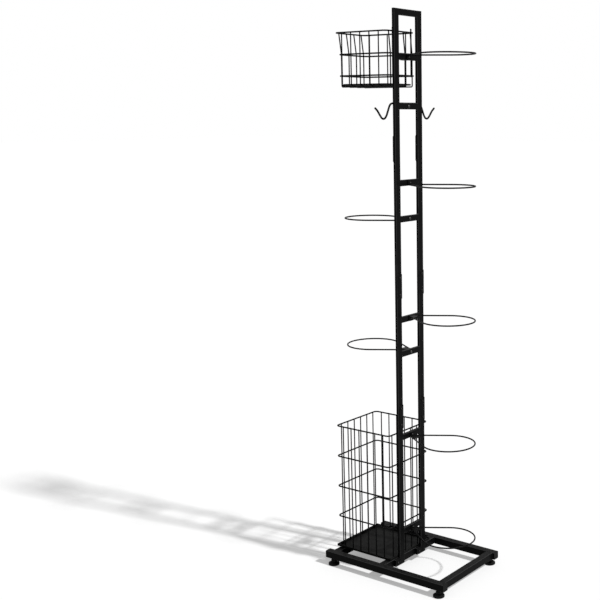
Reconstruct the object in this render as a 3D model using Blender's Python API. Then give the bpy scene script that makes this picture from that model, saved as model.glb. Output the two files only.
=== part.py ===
"""Free-standing storage rack: a four-section ladder on a tube base.

Seven wire rings and a double hook are bolted to the rungs, a wire basket hangs at the top and a
tall wire basket stands in a tray on the base.  Units are metres, +Z is up, X runs along the long
base tubes, the ladder lies in the YZ plane and the origin is on the floor under its middle.
"""

import math

import bmesh
import bpy
from mathutils import Matrix, Vector

# Clearance shared by every fit.
GAP = 0.0003  # between faces that touch in the real rack

# Small lengths that only make solids meet or cut cleanly.
SINK = 0.0005  # how far a welded bar runs into the one it is welded to
REACH = 0.002  # how far a cut runs past the face that it opens

# Base frame of tube, with plugs in the tube ends.
BASE_LENGTH = 0.600
BASE_HALF_Y = 0.199  # outer face of each long tube
TUBE_W = 0.030
TUBE_H = 0.030
TUBE_WALL = 0.0015
TUBE_Z0 = 0.0285
TUBE_Z1 = TUBE_Z0 + TUBE_H
CAP_FLANGE = 0.0015
CAP_PLUG = 0.012
LEFT_CROSS_INSET = 0.0235  # outer face of the left cross tube, from the tubes' left end
MIDDLE_CROSS_X1 = -0.0063
RIGHT_CROSS_INSET = 0.0100  # outer face of the right cross tube, from the tubes' right end

# Levelling feet.
FOOT_INSET = 0.032
FOOT_R = 0.023
FOOT_BEVEL = 0.0015
FOOT_DISC_H = 0.0085
FOOT_CONE_H = 0.0045
FOOT_COLLAR_R = 0.0120
FOOT_COLLAR_H = 0.0095
FOOT_STEM_R = 0.005
FOOT_STEM_TOP = 0.046
FOOT_STEM_BEVEL = 0.001
FOOT_SIDES = 24

# Ladder of flat rectangular tube.
LADDER_TOP = 2.245
HOOK_DROP = 0.3629  # from the top to the middle of the hook's rung
TOP_RING_DROP = 0.1772
LADDER_BOTTOM = 0.030
POST_SPACING = 0.1446
POST_W = 0.030
POST_D = 0.012
POST_WALL = 0.0015
RUNG_H = 0.0245
SECTION_JOINTS = (0.655, 1.185, 1.720)
RUNG_Z = {
    "ring_right_5": 0.1673,
    "ring_right_4": 0.5656,
    "ring_left_2": 0.9099,
    "ring_right_3": 1.0487,
    "ring_left_1": 1.4477,
    "ring_right_2": 1.5883,
    "hook": LADDER_TOP - HOOK_DROP,
    "ring_right_1": LADDER_TOP - TOP_RING_DROP,
}
LUG_W = 0.028

# Splice plates over the joints between ladder sections.
SPLICE_LENGTH = 0.100
SPLICE_W = 0.026
SPLICE_T = 0.003
SPLICE_BOLT_OFFSET = 0.034
SPLICE_SIDE = (1, 1, -1)  # +1 on the +X faces, -1 on the -X faces

# Button-head bolts.
BOLT_R = 0.003
BOLT_HOLE_R = BOLT_R + GAP
BOLT_HEAD_R = 0.0055
BOLT_HEAD_H = 0.0030
BOLT_HEAD_RIM = 0.0008  # height of the head's straight edge
BOLT_DOME = ((0.40, 1.0), (0.76, 0.75))  # shares of the head's radius and height
BOLT_SIDES = 12
BOLT_TIP = 0.003  # length past the last piece it clamps

# Wire rings: a drop-shaped loop with a gusset and a bolted flange.
RING_R = 0.106
RING_WIRE_R = 0.003
RING_CENTRE = 0.188
RING_ARM_Y = 0.010
RING_OFFSET = 0.008  # from the bolt to the plane of the wire
RINGS_WIRE_UP = ("ring_right_1", "ring_right_3", "ring_left_2")  # bolted the other way up
RING_ARC_STEPS = 26
RING_SIDES = 8
FLANGE_T = 0.003
FLANGE_W = 0.028
FLANGE_H = 0.023
GUSSET_T = 0.003
GUSSET_X1 = 0.042

# Double hook of bent wire.
HOOK_WIRE_R = 0.0038
HOOK_RISE = 0.0104
HOOK_PLATE_W = 0.024
HOOK_CURVE = (
    (0.0850, 0.0000), (0.0940, -0.0028), (0.1005, -0.0090), (0.1060, -0.0190), (0.1120, -0.0310),
    (0.1190, -0.0450), (0.1280, -0.0555), (0.1385, -0.0595), (0.1490, -0.0555), (0.1600, -0.0445),
    (0.1740, -0.0285), (0.1895, -0.0170),
)

# Top basket.
TOP_RIM_X = (-0.2840, -0.0290)
TOP_X = (-0.2725, -0.0208)  # hoops below the rim
TOP_Y = (-0.0940, 0.0860)
TOP_RUNG = "ring_right_1"  # the rung that carries it; heights are counted from the rung's middle
TOP_RIM_RISE = 0.0962
TOP_RING_RISE = (0.0132, -0.0688)
TOP_FLOOR_DROP = 0.1068
TOP_RIM_R = 0.0030
TOP_WIRE_R = 0.0022
TOP_RIM_CORNER = 0.020
TOP_RING_CORNER = 0.030
TOP_ACROSS_X = (-0.2507, -0.2052, -0.1597, -0.1142, -0.0687)
TOP_ALONG_Y = (-0.0722, -0.0267, 0.0188, 0.0643)
EAR_Y = (-0.0580, 0.0580)
EAR_RISE = 0.0150
EAR_ROOT = 0.0060  # length of an ear below the lower hoop
TOP_BLOCK_W = 0.030
TOP_BLOCK_LAP = 0.001  # how far the block reaches past the hoop's middle

# Tall basket and the tray under it.
TRAY_INSET = 0.0085  # from the base's left end
TRAY_HALF_Y = 0.1350
TRAY_T = 0.0015
TRAY_LIP = 0.0095
TALL_INSET_X = (0.0050, 0.0062)  # from the tray's left and right edges to the hoops
TALL_INSET_Y = 0.0050
TALL_RIM_Z = 0.5840
TALL_RIM_R = 0.0030
TALL_WIRE_R = 0.0022
TALL_CORNER = 0.015
TALL_LEVELS = 5
TALL_COUNT = 6  # uprights of each face
TALL_PITCH = 0.0414
WIRE_SIDES = 6
WELD = 0.80  # crossing wires stand this share of their summed radii apart

# Finishes: colour, roughness, metallic.

STEEL = ((0.010, 0.010, 0.011), 0.42, 0.35)
TRAY_STEEL = ((0.032, 0.032, 0.034), 0.48, 0.35)
ZINC = ((0.30, 0.30, 0.31), 0.34, 1.0)
PLASTIC = ((0.012, 0.012, 0.012), 0.60, 0.0)


def clear_scene() -> None:
    """Remove every object that is already in the scene."""
    for obj in list(bpy.data.objects):
        bpy.data.objects.remove(obj, do_unlink=True)


def make_material(name: str, look: tuple) -> bpy.types.Material:
    """Principled material from (colour, roughness, metallic)."""
    colour, roughness, metallic = look
    material = bpy.data.materials.new(name)
    material.use_nodes = True
    shader = material.node_tree.nodes["Principled BSDF"]
    shader.inputs["Base Color"].default_value = (*colour, 1.0)
    shader.inputs["Roughness"].default_value = roughness
    shader.inputs["Metallic"].default_value = metallic
    return material


def add_box(bm: bmesh.types.BMesh, low: tuple, high: tuple) -> None:
    """Add an axis-aligned box from its low to its high corner."""
    size = [b - a for a, b in zip(low, high)]
    middle = [(a + b) / 2 for a, b in zip(low, high)]
    matrix = Matrix.Translation(middle) @ Matrix.Diagonal((*size, 1.0))
    bmesh.ops.create_cube(bm, size=1.0, matrix=matrix)


def add_rod(bm: bmesh.types.BMesh, start: tuple, end: tuple, radius: float, sides: int) -> None:
    """Add a straight round rod between two points."""
    add_wire(bm, [Vector(start), Vector(end)], radius, sides)


def add_lathe(bm: bmesh.types.BMesh, profile: list, sides: int, matrix: Matrix) -> None:
    """Add a solid of revolution about local Z from (radius, z) points, closed by flat ends."""
    loops = []
    for radius, z in profile:
        loops.append([
            bm.verts.new(matrix @ Vector((radius * math.cos(a), radius * math.sin(a), z)))
            for a in (2 * math.pi * i / sides for i in range(sides))
        ])
    for lower, upper in zip(loops, loops[1:]):
        for i in range(sides):
            j = (i + 1) % sides
            bm.faces.new((lower[i], lower[j], upper[j], upper[i]))
    bm.faces.new(list(reversed(loops[0])))
    bm.faces.new(loops[-1])


def add_wire(bm: bmesh.types.BMesh, path: list, radius: float, sides: int,
             closed: bool = False) -> None:
    """Sweep a round wire along a flat path; closed joins the last point to the first."""
    count = len(path)
    steps = [path[i + 1] - path[i] for i in range(count - 1)]
    normal = Vector((0, 0, 0))
    for a, b in zip(steps, steps[1:]):
        if a.cross(b).length > normal.length:
            normal = a.cross(b)
    if normal.length < 1e-12:
        normal = steps[0].orthogonal()
    normal.normalize()
    loops = []
    for i, point in enumerate(path):
        before = path[i] - path[i - 1] if i or closed else path[1] - path[0]
        after = path[(i + 1) % count] - path[i] if i < count - 1 or closed else before
        before, after = before.normalized(), after.normalized()
        tangent = (before + after).normalized()
        side = normal.cross(tangent).normalized()
        stretch = 1.0 / max(0.3, before.dot(tangent))
        loops.append([
            bm.verts.new(point + radius * (math.cos(a) * stretch * side + math.sin(a) * normal))
            for a in (2 * math.pi * (k + 0.5) / sides for k in range(sides))
        ])
    pairs = list(zip(loops, loops[1:]))
    if closed:
        pairs.append((loops[-1], loops[0]))
    else:
        bm.faces.new(loops[0])
        bm.faces.new(list(reversed(loops[-1])))
    for first, second in pairs:
        for k in range(sides):
            m = (k + 1) % sides
            bm.faces.new((first[k], second[k], second[m], first[m]))


def rounded_rectangle(x_range: tuple, y_range: tuple, z: float, corner: float,
                      steps: int = 3) -> list:
    """Points of a level rectangle with round corners, counter-clockwise."""
    (x0, x1), (y0, y1) = x_range, y_range
    centres = ((x1 - corner, y1 - corner), (x0 + corner, y1 - corner),
               (x0 + corner, y0 + corner), (x1 - corner, y0 + corner))
    points = []
    for quarter, (cx, cy) in enumerate(centres):
        for i in range(steps + 1):
            a = math.pi / 2 * (quarter + i / steps)
            points.append(Vector((cx + corner * math.cos(a), cy + corner * math.sin(a), z)))
    return points


def mesh_object(name: str, bm: bmesh.types.BMesh) -> bpy.types.Object:
    """Turn a bmesh into a linked object with outward normals."""
    bmesh.ops.recalc_face_normals(bm, faces=bm.faces)
    mesh = bpy.data.meshes.new(name)
    bm.to_mesh(mesh)
    bm.free()
    obj = bpy.data.objects.new(name, mesh)
    bpy.context.scene.collection.objects.link(obj)
    return obj


def combine(obj: bpy.types.Object, bm: bmesh.types.BMesh, operation: str) -> None:
    """Unite with, or subtract, the solids of bm, and keep the plain result mesh."""
    tool = mesh_object(obj.name + "_tool", bm)
    modifier = obj.modifiers.new("combine", "BOOLEAN")
    modifier.operation = operation
    modifier.solver = "EXACT"
    modifier.object = tool
    depsgraph = bpy.context.evaluated_depsgraph_get()
    result = bpy.data.meshes.new_from_object(obj.evaluated_get(depsgraph))
    obj.modifiers.remove(modifier)
    obj.data = result
    result.name = obj.name
    bpy.data.objects.remove(tool, do_unlink=True)


def finish(obj: bpy.types.Object, look: tuple, smooth_angle: float = 35.0) -> None:
    """Give an object its own material and shade its round faces smooth."""
    obj.data.materials.clear()
    obj.data.materials.append(make_material(obj.name, look))
    bm = bmesh.new()
    bm.from_mesh(obj.data)
    bmesh.ops.dissolve_degenerate(bm, edges=bm.edges, dist=1e-7)
    limit = math.radians(smooth_angle)
    for face in bm.faces:
        face.smooth = True
        face.material_index = 0
    for edge in bm.edges:
        edge.smooth = len(edge.link_faces) == 2 and edge.calc_face_angle(0.0) < limit
    bm.to_mesh(obj.data)
    bm.free()


def tube_along(bm: bmesh.types.BMesh, inner: bmesh.types.BMesh, axis: int, span: tuple,
               low: tuple, high: tuple, wall: float) -> None:
    """Box for a tube along an axis, and the box of its bore in a second bmesh."""
    a, b, c, d = list(low), list(high), [v + wall for v in low], [v - wall for v in high]
    for corner, value in ((a, span[0]), (b, span[1]), (c, span[0] - wall), (d, span[1] + wall)):
        corner.insert(axis, value)
    add_box(bm, a, b)
    add_box(inner, c, d)


def foot_places() -> list:
    """Name and (x, y) of each levelling foot."""
    x = BASE_LENGTH / 2 - FOOT_INSET
    y = BASE_HALF_Y - TUBE_W / 2
    return [("near_left", -x, -y), ("near_right", x, -y), ("far_left", -x, y), ("far_right", x, y)]


def build_base() -> None:
    """Two long tubes with plugs and three cross tubes between them."""
    tube_half = BASE_LENGTH / 2 - CAP_FLANGE - GAP
    for side, name in ((-1, "near"), (1, "far")):
        y0, y1 = sorted((side * BASE_HALF_Y, side * (BASE_HALF_Y - TUBE_W)))
        outer, bore = bmesh.new(), bmesh.new()
        tube_along(outer, bore, 0, (-tube_half, tube_half), (y0, TUBE_Z0), (y1, TUBE_Z1),
                   TUBE_WALL)
        tube = mesh_object(f"base_tube_{name}", outer)
        combine(tube, bore, "DIFFERENCE")
        holes = bmesh.new()
        for foot, x, y in foot_places():
            if foot.startswith(name):
                add_rod(holes, (x, y, TUBE_Z0 - REACH), (x, y, TUBE_Z0 + TUBE_WALL + REACH),
                        FOOT_STEM_R + GAP, 16)
        combine(tube, holes, "DIFFERENCE")
        finish(tube, STEEL)
        for end, end_name in ((-1, "left"), (1, "right")):
            cap = bmesh.new()
            x_out, x_in = end * BASE_LENGTH / 2, end * (BASE_LENGTH / 2 - CAP_FLANGE)
            add_box(cap, (min(x_out, x_in), y0, TUBE_Z0), (max(x_out, x_in), y1, TUBE_Z1))
            plug = mesh_object(f"end_cap_{name}_{end_name}", cap)
            stem = bmesh.new()
            inset = TUBE_WALL + GAP
            x_tip = end * (BASE_LENGTH / 2 - CAP_FLANGE - CAP_PLUG)
            x_root = x_in + end * CAP_FLANGE / 2
            add_box(stem, (min(x_root, x_tip), y0 + inset, TUBE_Z0 + inset),
                    (max(x_root, x_tip), y1 - inset, TUBE_Z1 - inset))
            combine(plug, stem, "UNION")
            finish(plug, PLASTIC)
    inner_y = BASE_HALF_Y - TUBE_W - GAP
    for name, x0 in (("left", LEFT_CROSS_INSET - BASE_LENGTH / 2),
                     ("middle", MIDDLE_CROSS_X1 - TUBE_W),
                     ("right", BASE_LENGTH / 2 - RIGHT_CROSS_INSET - TUBE_W)):
        outer, bore = bmesh.new(), bmesh.new()
        tube_along(outer, bore, 1, (-inner_y, inner_y), (x0, TUBE_Z0), (x0 + TUBE_W, TUBE_Z1),
                   TUBE_WALL)
        tube = mesh_object(f"cross_tube_{name}", outer)
        combine(tube, bore, "DIFFERENCE")
        if name == "middle":
            holes = bmesh.new()
            for _, y in lug_places():
                add_rod(holes, (MIDDLE_CROSS_X1 - TUBE_WALL - REACH, y, lug_z()),
                        (MIDDLE_CROSS_X1 + REACH, y, lug_z()), BOLT_HOLE_R, BOLT_SIDES)
            combine(tube, holes, "DIFFERENCE")
        finish(tube, STEEL)


def build_feet() -> None:
    """Round levelling feet whose stems pass through the underside of the long tubes."""
    z1 = FOOT_DISC_H + FOOT_CONE_H
    z2 = z1 + FOOT_COLLAR_H
    for name, x, y in foot_places():
        bm = bmesh.new()
        profile = [(FOOT_R - FOOT_BEVEL, 0), (FOOT_R, FOOT_BEVEL), (FOOT_R, FOOT_DISC_H),
                   (FOOT_COLLAR_R, z1), (FOOT_COLLAR_R, z2), (FOOT_STEM_R, z2),
                   (FOOT_STEM_R, FOOT_STEM_TOP - FOOT_STEM_BEVEL),
                   (FOOT_STEM_R - FOOT_STEM_BEVEL, FOOT_STEM_TOP)]
        add_lathe(bm, profile, FOOT_SIDES, Matrix.Identity(4))
        foot = mesh_object(f"foot_{name}", bm)
        foot.location = (x, y, 0.0)
        finish(foot, PLASTIC)


def post_faces() -> list:
    """Name, inner and outer Y of each ladder post."""
    inner = POST_SPACING / 2 - POST_W / 2
    return [("near", -inner - POST_W, -inner), ("far", inner, inner + POST_W)]


def lug_places() -> list:
    """Post name and bolt Y of the lug beside the foot of each post."""
    return [(name, y0 - LUG_W / 2) for name, y0, _ in post_faces()]


def lug_z() -> float:
    """Height of the bolts that hold the ladder to the middle cross tube."""
    return (TUBE_Z0 + TUBE_Z1) / 2


def section_spans() -> list:
    """Lower and upper end of each ladder section, from the bottom up."""
    cuts = [LADDER_BOTTOM, *SECTION_JOINTS, LADDER_TOP]
    return [(a + (GAP / 2 if i else 0.0), b - (GAP / 2 if i < len(SECTION_JOINTS) else 0.0))
            for i, (a, b) in enumerate(zip(cuts, cuts[1:]))]


def build_ladder() -> None:
    """Four welded sections: two posts with rungs, the top one closed by a bar."""
    half_d = POST_D / 2
    inner_y = POST_SPACING / 2 - POST_W / 2
    for index, (z0, z1) in enumerate(section_spans()):
        top = index == len(SECTION_JOINTS)
        outer, bore = bmesh.new(), bmesh.new()
        for _, y0, y1 in post_faces():
            low, high = (-half_d, y0), (half_d, y1)
            bore_top = z1 - POST_WALL if top else z1 + POST_WALL
            add_box(outer, (*low, z0), (*high, z1))
            add_box(bore, (low[0] + POST_WALL, low[1] + POST_WALL, z0 - POST_WALL),
                    (high[0] - POST_WALL, high[1] - POST_WALL, bore_top))
        frame = mesh_object(f"ladder_section_{index + 1}", outer)
        rungs, rung_bores = bmesh.new(), bmesh.new()
        levels = [z for z in RUNG_Z.values() if z0 < z < z1]
        for z in levels:
            add_box(rungs, (-half_d, -inner_y - SINK, z - RUNG_H / 2),
                    (half_d, inner_y + SINK, z + RUNG_H / 2))
            add_box(rung_bores, (-half_d + POST_WALL, -inner_y, z - RUNG_H / 2 + POST_WALL),
                    (half_d - POST_WALL, inner_y, z + RUNG_H / 2 - POST_WALL))
        if top:
            add_box(rungs, (-half_d, -inner_y - SINK, z1 - RUNG_H), (half_d, inner_y + SINK, z1))
        combine(frame, rungs, "UNION")
        combine(frame, bore, "DIFFERENCE")
        if top:
            bore_y = inner_y + POST_WALL + REACH
            add_box(rung_bores, (-half_d + POST_WALL, -bore_y, z1 - RUNG_H + POST_WALL),
                    (half_d - POST_WALL, bore_y, z1 - POST_WALL))
        combine(frame, rung_bores, "DIFFERENCE")
        holes = bmesh.new()
        for z in levels:
            add_rod(holes, (-half_d - REACH, 0, z), (half_d + REACH, 0, z), BOLT_HOLE_R, BOLT_SIDES)
        for joint, side in zip(SECTION_JOINTS, SPLICE_SIDE):
            for z in (joint - SPLICE_BOLT_OFFSET, joint + SPLICE_BOLT_OFFSET):
                if z0 < z < z1:
                    for _, y0, y1 in post_faces():
                        y = (y0 + y1) / 2
                        add_rod(holes, (side * (half_d - POST_WALL - REACH), y, z),
                                (side * (half_d + REACH), y, z), BOLT_HOLE_R, BOLT_SIDES)
        if index == 0:
            lugs = bmesh.new()
            for _, y0, _ in post_faces():
                add_box(lugs, (-half_d, y0 - LUG_W, LADDER_BOTTOM),
                        (half_d, y0 + SINK, TUBE_Z1))
            combine(frame, lugs, "UNION")
            for _, y in lug_places():
                add_rod(holes, (-half_d - REACH, y, lug_z()), (half_d + REACH, y, lug_z()),
                        BOLT_HOLE_R, BOLT_SIDES)
        combine(frame, holes, "DIFFERENCE")
        finish(frame, STEEL)


def build_bolt(name: str, head_x: float, direction: int, y: float, z: float,
               length: float) -> None:
    """Button-head bolt along X; head_x is under its head and direction points to its tip."""
    bm = bmesh.new()
    profile = [(BOLT_HEAD_R * r, -BOLT_HEAD_H * h) for r, h in BOLT_DOME]
    profile += [(BOLT_HEAD_R, -BOLT_HEAD_RIM), (BOLT_HEAD_R, 0.0), (BOLT_R, 0.0), (BOLT_R, length)]
    turn = Matrix.Rotation(direction * math.pi / 2, 4, "Y")
    add_lathe(bm, profile, BOLT_SIDES, Matrix.Translation((head_x, y, z)) @ turn)
    finish(mesh_object(name, bm), ZINC)


def build_splices() -> None:
    """Flat plates over each joint, with one bolt above and one below it."""
    for number, (joint, side) in enumerate(zip(SECTION_JOINTS, SPLICE_SIDE), start=1):
        x_in = side * (POST_D / 2 + GAP)
        x_out = x_in + side * SPLICE_T
        for post, y0, y1 in post_faces():
            y = (y0 + y1) / 2
            bm = bmesh.new()
            add_box(bm, (min(x_in, x_out), y - SPLICE_W / 2, joint - SPLICE_LENGTH / 2),
                    (max(x_in, x_out), y + SPLICE_W / 2, joint + SPLICE_LENGTH / 2))
            plate = mesh_object(f"splice_plate_{number}_{post}", bm)
            holes = bmesh.new()
            for sign, place in ((-1, "low"), (1, "high")):
                z = joint + sign * SPLICE_BOLT_OFFSET
                add_rod(holes, (x_in - side * REACH, y, z), (x_out + side * REACH, y, z),
                        BOLT_HOLE_R, BOLT_SIDES)
                build_bolt(f"splice_bolt_{number}_{post}_{place}", x_out + side * GAP, -side, y, z,
                           SPLICE_T + 2 * GAP + POST_WALL + BOLT_TIP)
            combine(plate, holes, "DIFFERENCE")
            finish(plate, STEEL)


def ring_path(side: int, z: float) -> list:
    """Centre line of a ring wire: out along one arm, round the ring, back along the other."""
    centre = Vector((RING_CENTRE, 0.0, 0.0))
    root = Vector((POST_D / 2 + GAP + FLANGE_T / 2, -RING_ARM_Y, 0.0))
    to_root = root - centre
    touch = math.acos(RING_R / to_root.length)
    start = math.atan2(to_root.y, to_root.x) + touch
    sweep = 2 * math.pi - 2 * (start % (2 * math.pi) - math.pi)
    arc = [start + sweep * i / RING_ARC_STEPS for i in range(RING_ARC_STEPS + 1)]
    points = [root] + [centre + RING_R * Vector((math.cos(a), math.sin(a), 0)) for a in arc]
    points.append(Vector((root.x, -root.y, 0.0)))
    return [Vector((side * p.x, p.y, z)) for p in points]


def build_ring(name: str, side: int, z: float, wire_z: float) -> None:
    """Ring wire with the gusset between its arms and the flange that is bolted to a rung."""
    bm = bmesh.new()
    add_wire(bm, ring_path(side, wire_z), RING_WIRE_R, RING_SIDES)
    ring = mesh_object(name, bm)
    x_in = POST_D / 2 + GAP
    x_out = x_in + FLANGE_T
    path = ring_path(1, z)
    slope = (path[1].y - path[0].y) / (path[1].x - path[0].x)
    y_root, y_tip = RING_ARM_Y, RING_ARM_Y - slope * (GUSSET_X1 - path[0].x)
    gusset = bmesh.new()
    outline = [(x_out - 2 * SINK, -y_root), (GUSSET_X1, -y_tip), (GUSSET_X1, y_tip),
               (x_out - 2 * SINK, y_root)]
    levels = (wire_z - GUSSET_T / 2, wire_z + GUSSET_T / 2)
    rows = [[gusset.verts.new((side * x, y, level)) for x, y in outline] for level in levels]
    gusset.faces.new(rows[0])
    gusset.faces.new(rows[1])
    for i in range(4):
        j = (i + 1) % 4
        gusset.faces.new((rows[0][i], rows[0][j], rows[1][j], rows[1][i]))
    combine(ring, gusset, "UNION")
    flange = bmesh.new()
    xa, xb = sorted((side * x_in, side * x_out))
    add_box(flange, (xa, -FLANGE_W / 2, z - FLANGE_H / 2), (xb, FLANGE_W / 2, z + FLANGE_H / 2))
    combine(ring, flange, "UNION")
    hole = bmesh.new()
    add_rod(hole, (xa - REACH, 0, z), (xb + REACH, 0, z), BOLT_HOLE_R, BOLT_SIDES)
    combine(ring, hole, "DIFFERENCE")
    finish(ring, STEEL)


def build_rings() -> None:
    """Seven rings, two of them on the -X side, each with its bolt from the other side."""
    block = POST_D / 2 + GAP
    for name, z in RUNG_Z.items():
        if name == "hook":
            continue
        side = -1 if "left" in name else 1
        build_ring(name, side, z, z + (RING_OFFSET if name in RINGS_WIRE_UP else -RING_OFFSET))
        under_head = -side * block
        length = POST_D + 2 * GAP + FLANGE_T + BOLT_TIP
        if name == TOP_RUNG:  # the same bolt also clamps the top basket
            under_head = TOP_X[1] - TOP_RIM_R - GAP
            length += -block - under_head
        build_bolt(f"{name}_bolt", under_head, side, 0.0, z, length)


def build_hook() -> None:
    """Double hook: one wire bent down and up again at both ends, with a bolted plate."""
    z = RUNG_Z["hook"]
    x_face = -POST_D / 2 - GAP
    x = x_face - HOOK_WIRE_R
    half = [Vector((x, y, z + HOOK_RISE + dz)) for y, dz in HOOK_CURVE]
    other = [Vector((p.x, -p.y, p.z)) for p in reversed(half)]
    bm = bmesh.new()
    add_wire(bm, other + half, HOOK_WIRE_R, RING_SIDES)
    hook = mesh_object("double_hook", bm)
    plate = bmesh.new()
    add_box(plate, (x_face - FLANGE_T, -HOOK_PLATE_W / 2, z - RUNG_H / 2),
            (x_face, HOOK_PLATE_W / 2, z + HOOK_RISE - 2 * SINK))
    combine(hook, plate, "UNION")
    hole = bmesh.new()
    add_rod(hole, (x_face - FLANGE_T - REACH, 0, z), (x_face + REACH, 0, z), BOLT_HOLE_R, BOLT_SIDES)
    combine(hook, hole, "DIFFERENCE")
    finish(hook, STEEL)
    build_bolt("hook_bolt", -x_face, -1, 0.0, z, POST_D + 2 * GAP + FLANGE_T + BOLT_TIP)


def build_top_basket() -> None:
    """Basket of bent wires on hoops, with two ears and the block bolted to a rung."""
    reach = WELD * (TOP_RIM_R + TOP_WIRE_R)
    rung_z = RUNG_Z[TOP_RUNG]
    rim_z, floor_z = rung_z + TOP_RIM_RISE, rung_z - TOP_FLOOR_DROP
    ring_z = [rung_z + rise for rise in TOP_RING_RISE]
    hoops = bmesh.new()
    add_wire(hoops, rounded_rectangle(TOP_RIM_X, TOP_Y, rim_z, TOP_RIM_CORNER), TOP_RIM_R,
             WIRE_SIDES, closed=True)
    for z in ring_z:
        add_wire(hoops, rounded_rectangle(TOP_X, TOP_Y, z, TOP_RING_CORNER), TOP_RIM_R,
                 WIRE_SIDES, closed=True)
    lie = 2 * reach  # the lowest hoop lies inside the wires, on the floor
    add_wire(hoops, rounded_rectangle((TOP_X[0] + lie, TOP_X[1] - lie),
                                      (TOP_Y[0] + lie, TOP_Y[1] - lie),
                                      floor_z + reach, TOP_RING_CORNER), TOP_RIM_R,
             WIRE_SIDES, closed=True)
    basket = mesh_object("top_basket", hoops)
    low, high = TOP_Y[0] + reach, TOP_Y[1] - reach
    across = bmesh.new()
    for x in TOP_ACROSS_X:
        add_wire(across, [Vector(p) for p in ((x, low, rim_z), (x, low, floor_z),
                                              (x, high, floor_z), (x, high, rim_z))],
                 TOP_WIRE_R, WIRE_SIDES)
    combine(basket, across, "UNION")
    along = bmesh.new()
    x0, x1 = TOP_X[0] + reach, TOP_X[1] - reach
    rim_x0, rim_x1 = TOP_RIM_X[0] + reach, TOP_RIM_X[1] - reach
    floor, bend = floor_z - 2 * WELD * TOP_WIRE_R, ring_z[0] + TOP_RIM_R
    for y in TOP_ALONG_Y:
        add_wire(along, [Vector(p) for p in (
            (rim_x0, y, rim_z), (x0, y, bend), (x0, y, floor), (x1, y, floor), (x1, y, bend),
            (rim_x1, y, rim_z))], TOP_WIRE_R, WIRE_SIDES)
    combine(basket, along, "UNION")
    ears = bmesh.new()
    for y in EAR_Y:
        add_rod(ears, (x1, y, ring_z[1] - EAR_ROOT), (x1, y, rim_z + EAR_RISE), TOP_RIM_R,
                RING_SIDES)
    combine(basket, ears, "UNION")
    block = bmesh.new()
    add_box(block, (TOP_X[1] - TOP_RIM_R, -TOP_BLOCK_W / 2, rung_z - RUNG_H / 2),
            (-POST_D / 2 - GAP, TOP_BLOCK_W / 2, ring_z[0] + TOP_BLOCK_LAP))
    combine(basket, block, "UNION")
    hole = bmesh.new()
    add_rod(hole, (TOP_X[1] - TOP_RIM_R - REACH, 0, rung_z), (0, 0, rung_z), BOLT_HOLE_R,
            BOLT_SIDES)
    combine(basket, hole, "DIFFERENCE")
    finish(basket, STEEL)


def spread(low: float, high: float, count: int) -> list:
    """Evenly spaced values from low to high."""
    return [low + (high - low) * i / (count - 1) for i in range(count)]


def upright_places(middle: float) -> list:
    """Places of the uprights along a face of the tall basket."""
    half = TALL_PITCH * (TALL_COUNT - 1) / 2
    return spread(middle - half, middle + half, TALL_COUNT)


def build_tall_basket() -> None:
    """Tray with a folded lip, and the open-bottomed wire basket that stands in it."""
    z0 = TUBE_Z1 + GAP
    tray_x0, tray_x1 = TRAY_INSET - BASE_LENGTH / 2, MIDDLE_CROSS_X1
    bm = bmesh.new()
    add_box(bm, (tray_x0, -TRAY_HALF_Y, z0), (tray_x1, TRAY_HALF_Y, z0 + TRAY_LIP))
    tray = mesh_object("tray", bm)
    room = bmesh.new()
    add_box(room, (tray_x0 + TRAY_T, -TRAY_HALF_Y + TRAY_T, z0 + TRAY_T),
            (tray_x1 - TRAY_T, TRAY_HALF_Y - TRAY_T, z0 + TRAY_LIP + REACH))
    combine(tray, room, "DIFFERENCE")
    finish(tray, TRAY_STEEL)
    bottom = z0 + TRAY_T + GAP + TALL_RIM_R
    hoops = bmesh.new()
    half_y = TRAY_HALF_Y - TALL_INSET_Y
    x_range = (tray_x0 + TALL_INSET_X[0], tray_x1 - TALL_INSET_X[1])
    for z in spread(bottom, TALL_RIM_Z, TALL_LEVELS):
        add_wire(hoops, rounded_rectangle(x_range, (-half_y, half_y), z, TALL_CORNER), TALL_RIM_R,
                 WIRE_SIDES, closed=True)
    basket = mesh_object("tall_basket", hoops)
    reach = WELD * (TALL_RIM_R + TALL_WIRE_R)
    uprights = bmesh.new()
    for y in (-half_y + reach, half_y - reach):
        for x in upright_places(sum(x_range) / 2):
            add_rod(uprights, (x, y, bottom), (x, y, TALL_RIM_Z), TALL_WIRE_R, WIRE_SIDES)
    for x in (x_range[0] + reach, x_range[1] - reach):
        for y in upright_places(0.0):
            add_rod(uprights, (x, y, bottom), (x, y, TALL_RIM_Z), TALL_WIRE_R, WIRE_SIDES)
    combine(basket, uprights, "UNION")
    finish(basket, STEEL)


def build_ladder_bolts() -> None:
    """Bolts through the lugs into the middle cross tube."""
    for name, y in lug_places():
        build_bolt(f"ladder_bolt_{name}", POST_D / 2 + GAP, -1, y, lug_z(),
                   POST_D + 2 * GAP + TUBE_WALL + BOLT_TIP)


def main() -> None:
    """Build every piece of the rack."""
    clear_scene()
    build_base()
    build_feet()
    build_ladder()
    build_splices()
    build_ladder_bolts()
    build_rings()
    build_hook()
    build_top_basket()
    build_tall_basket()


main()
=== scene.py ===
"""Dressed model of a free-standing storage rack.

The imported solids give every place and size.  Each sub-assembly below models its finished pieces,
stands them in for the plain solids and gives them their coats.  Units are metres, X runs along
the long base tubes, the ladder lies in the YZ plane and +Z is up.
"""

import logging
import math
from collections.abc import Callable, Iterable, Iterator, Sequence
from contextlib import contextmanager
from dataclasses import dataclass
from enum import Enum

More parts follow.
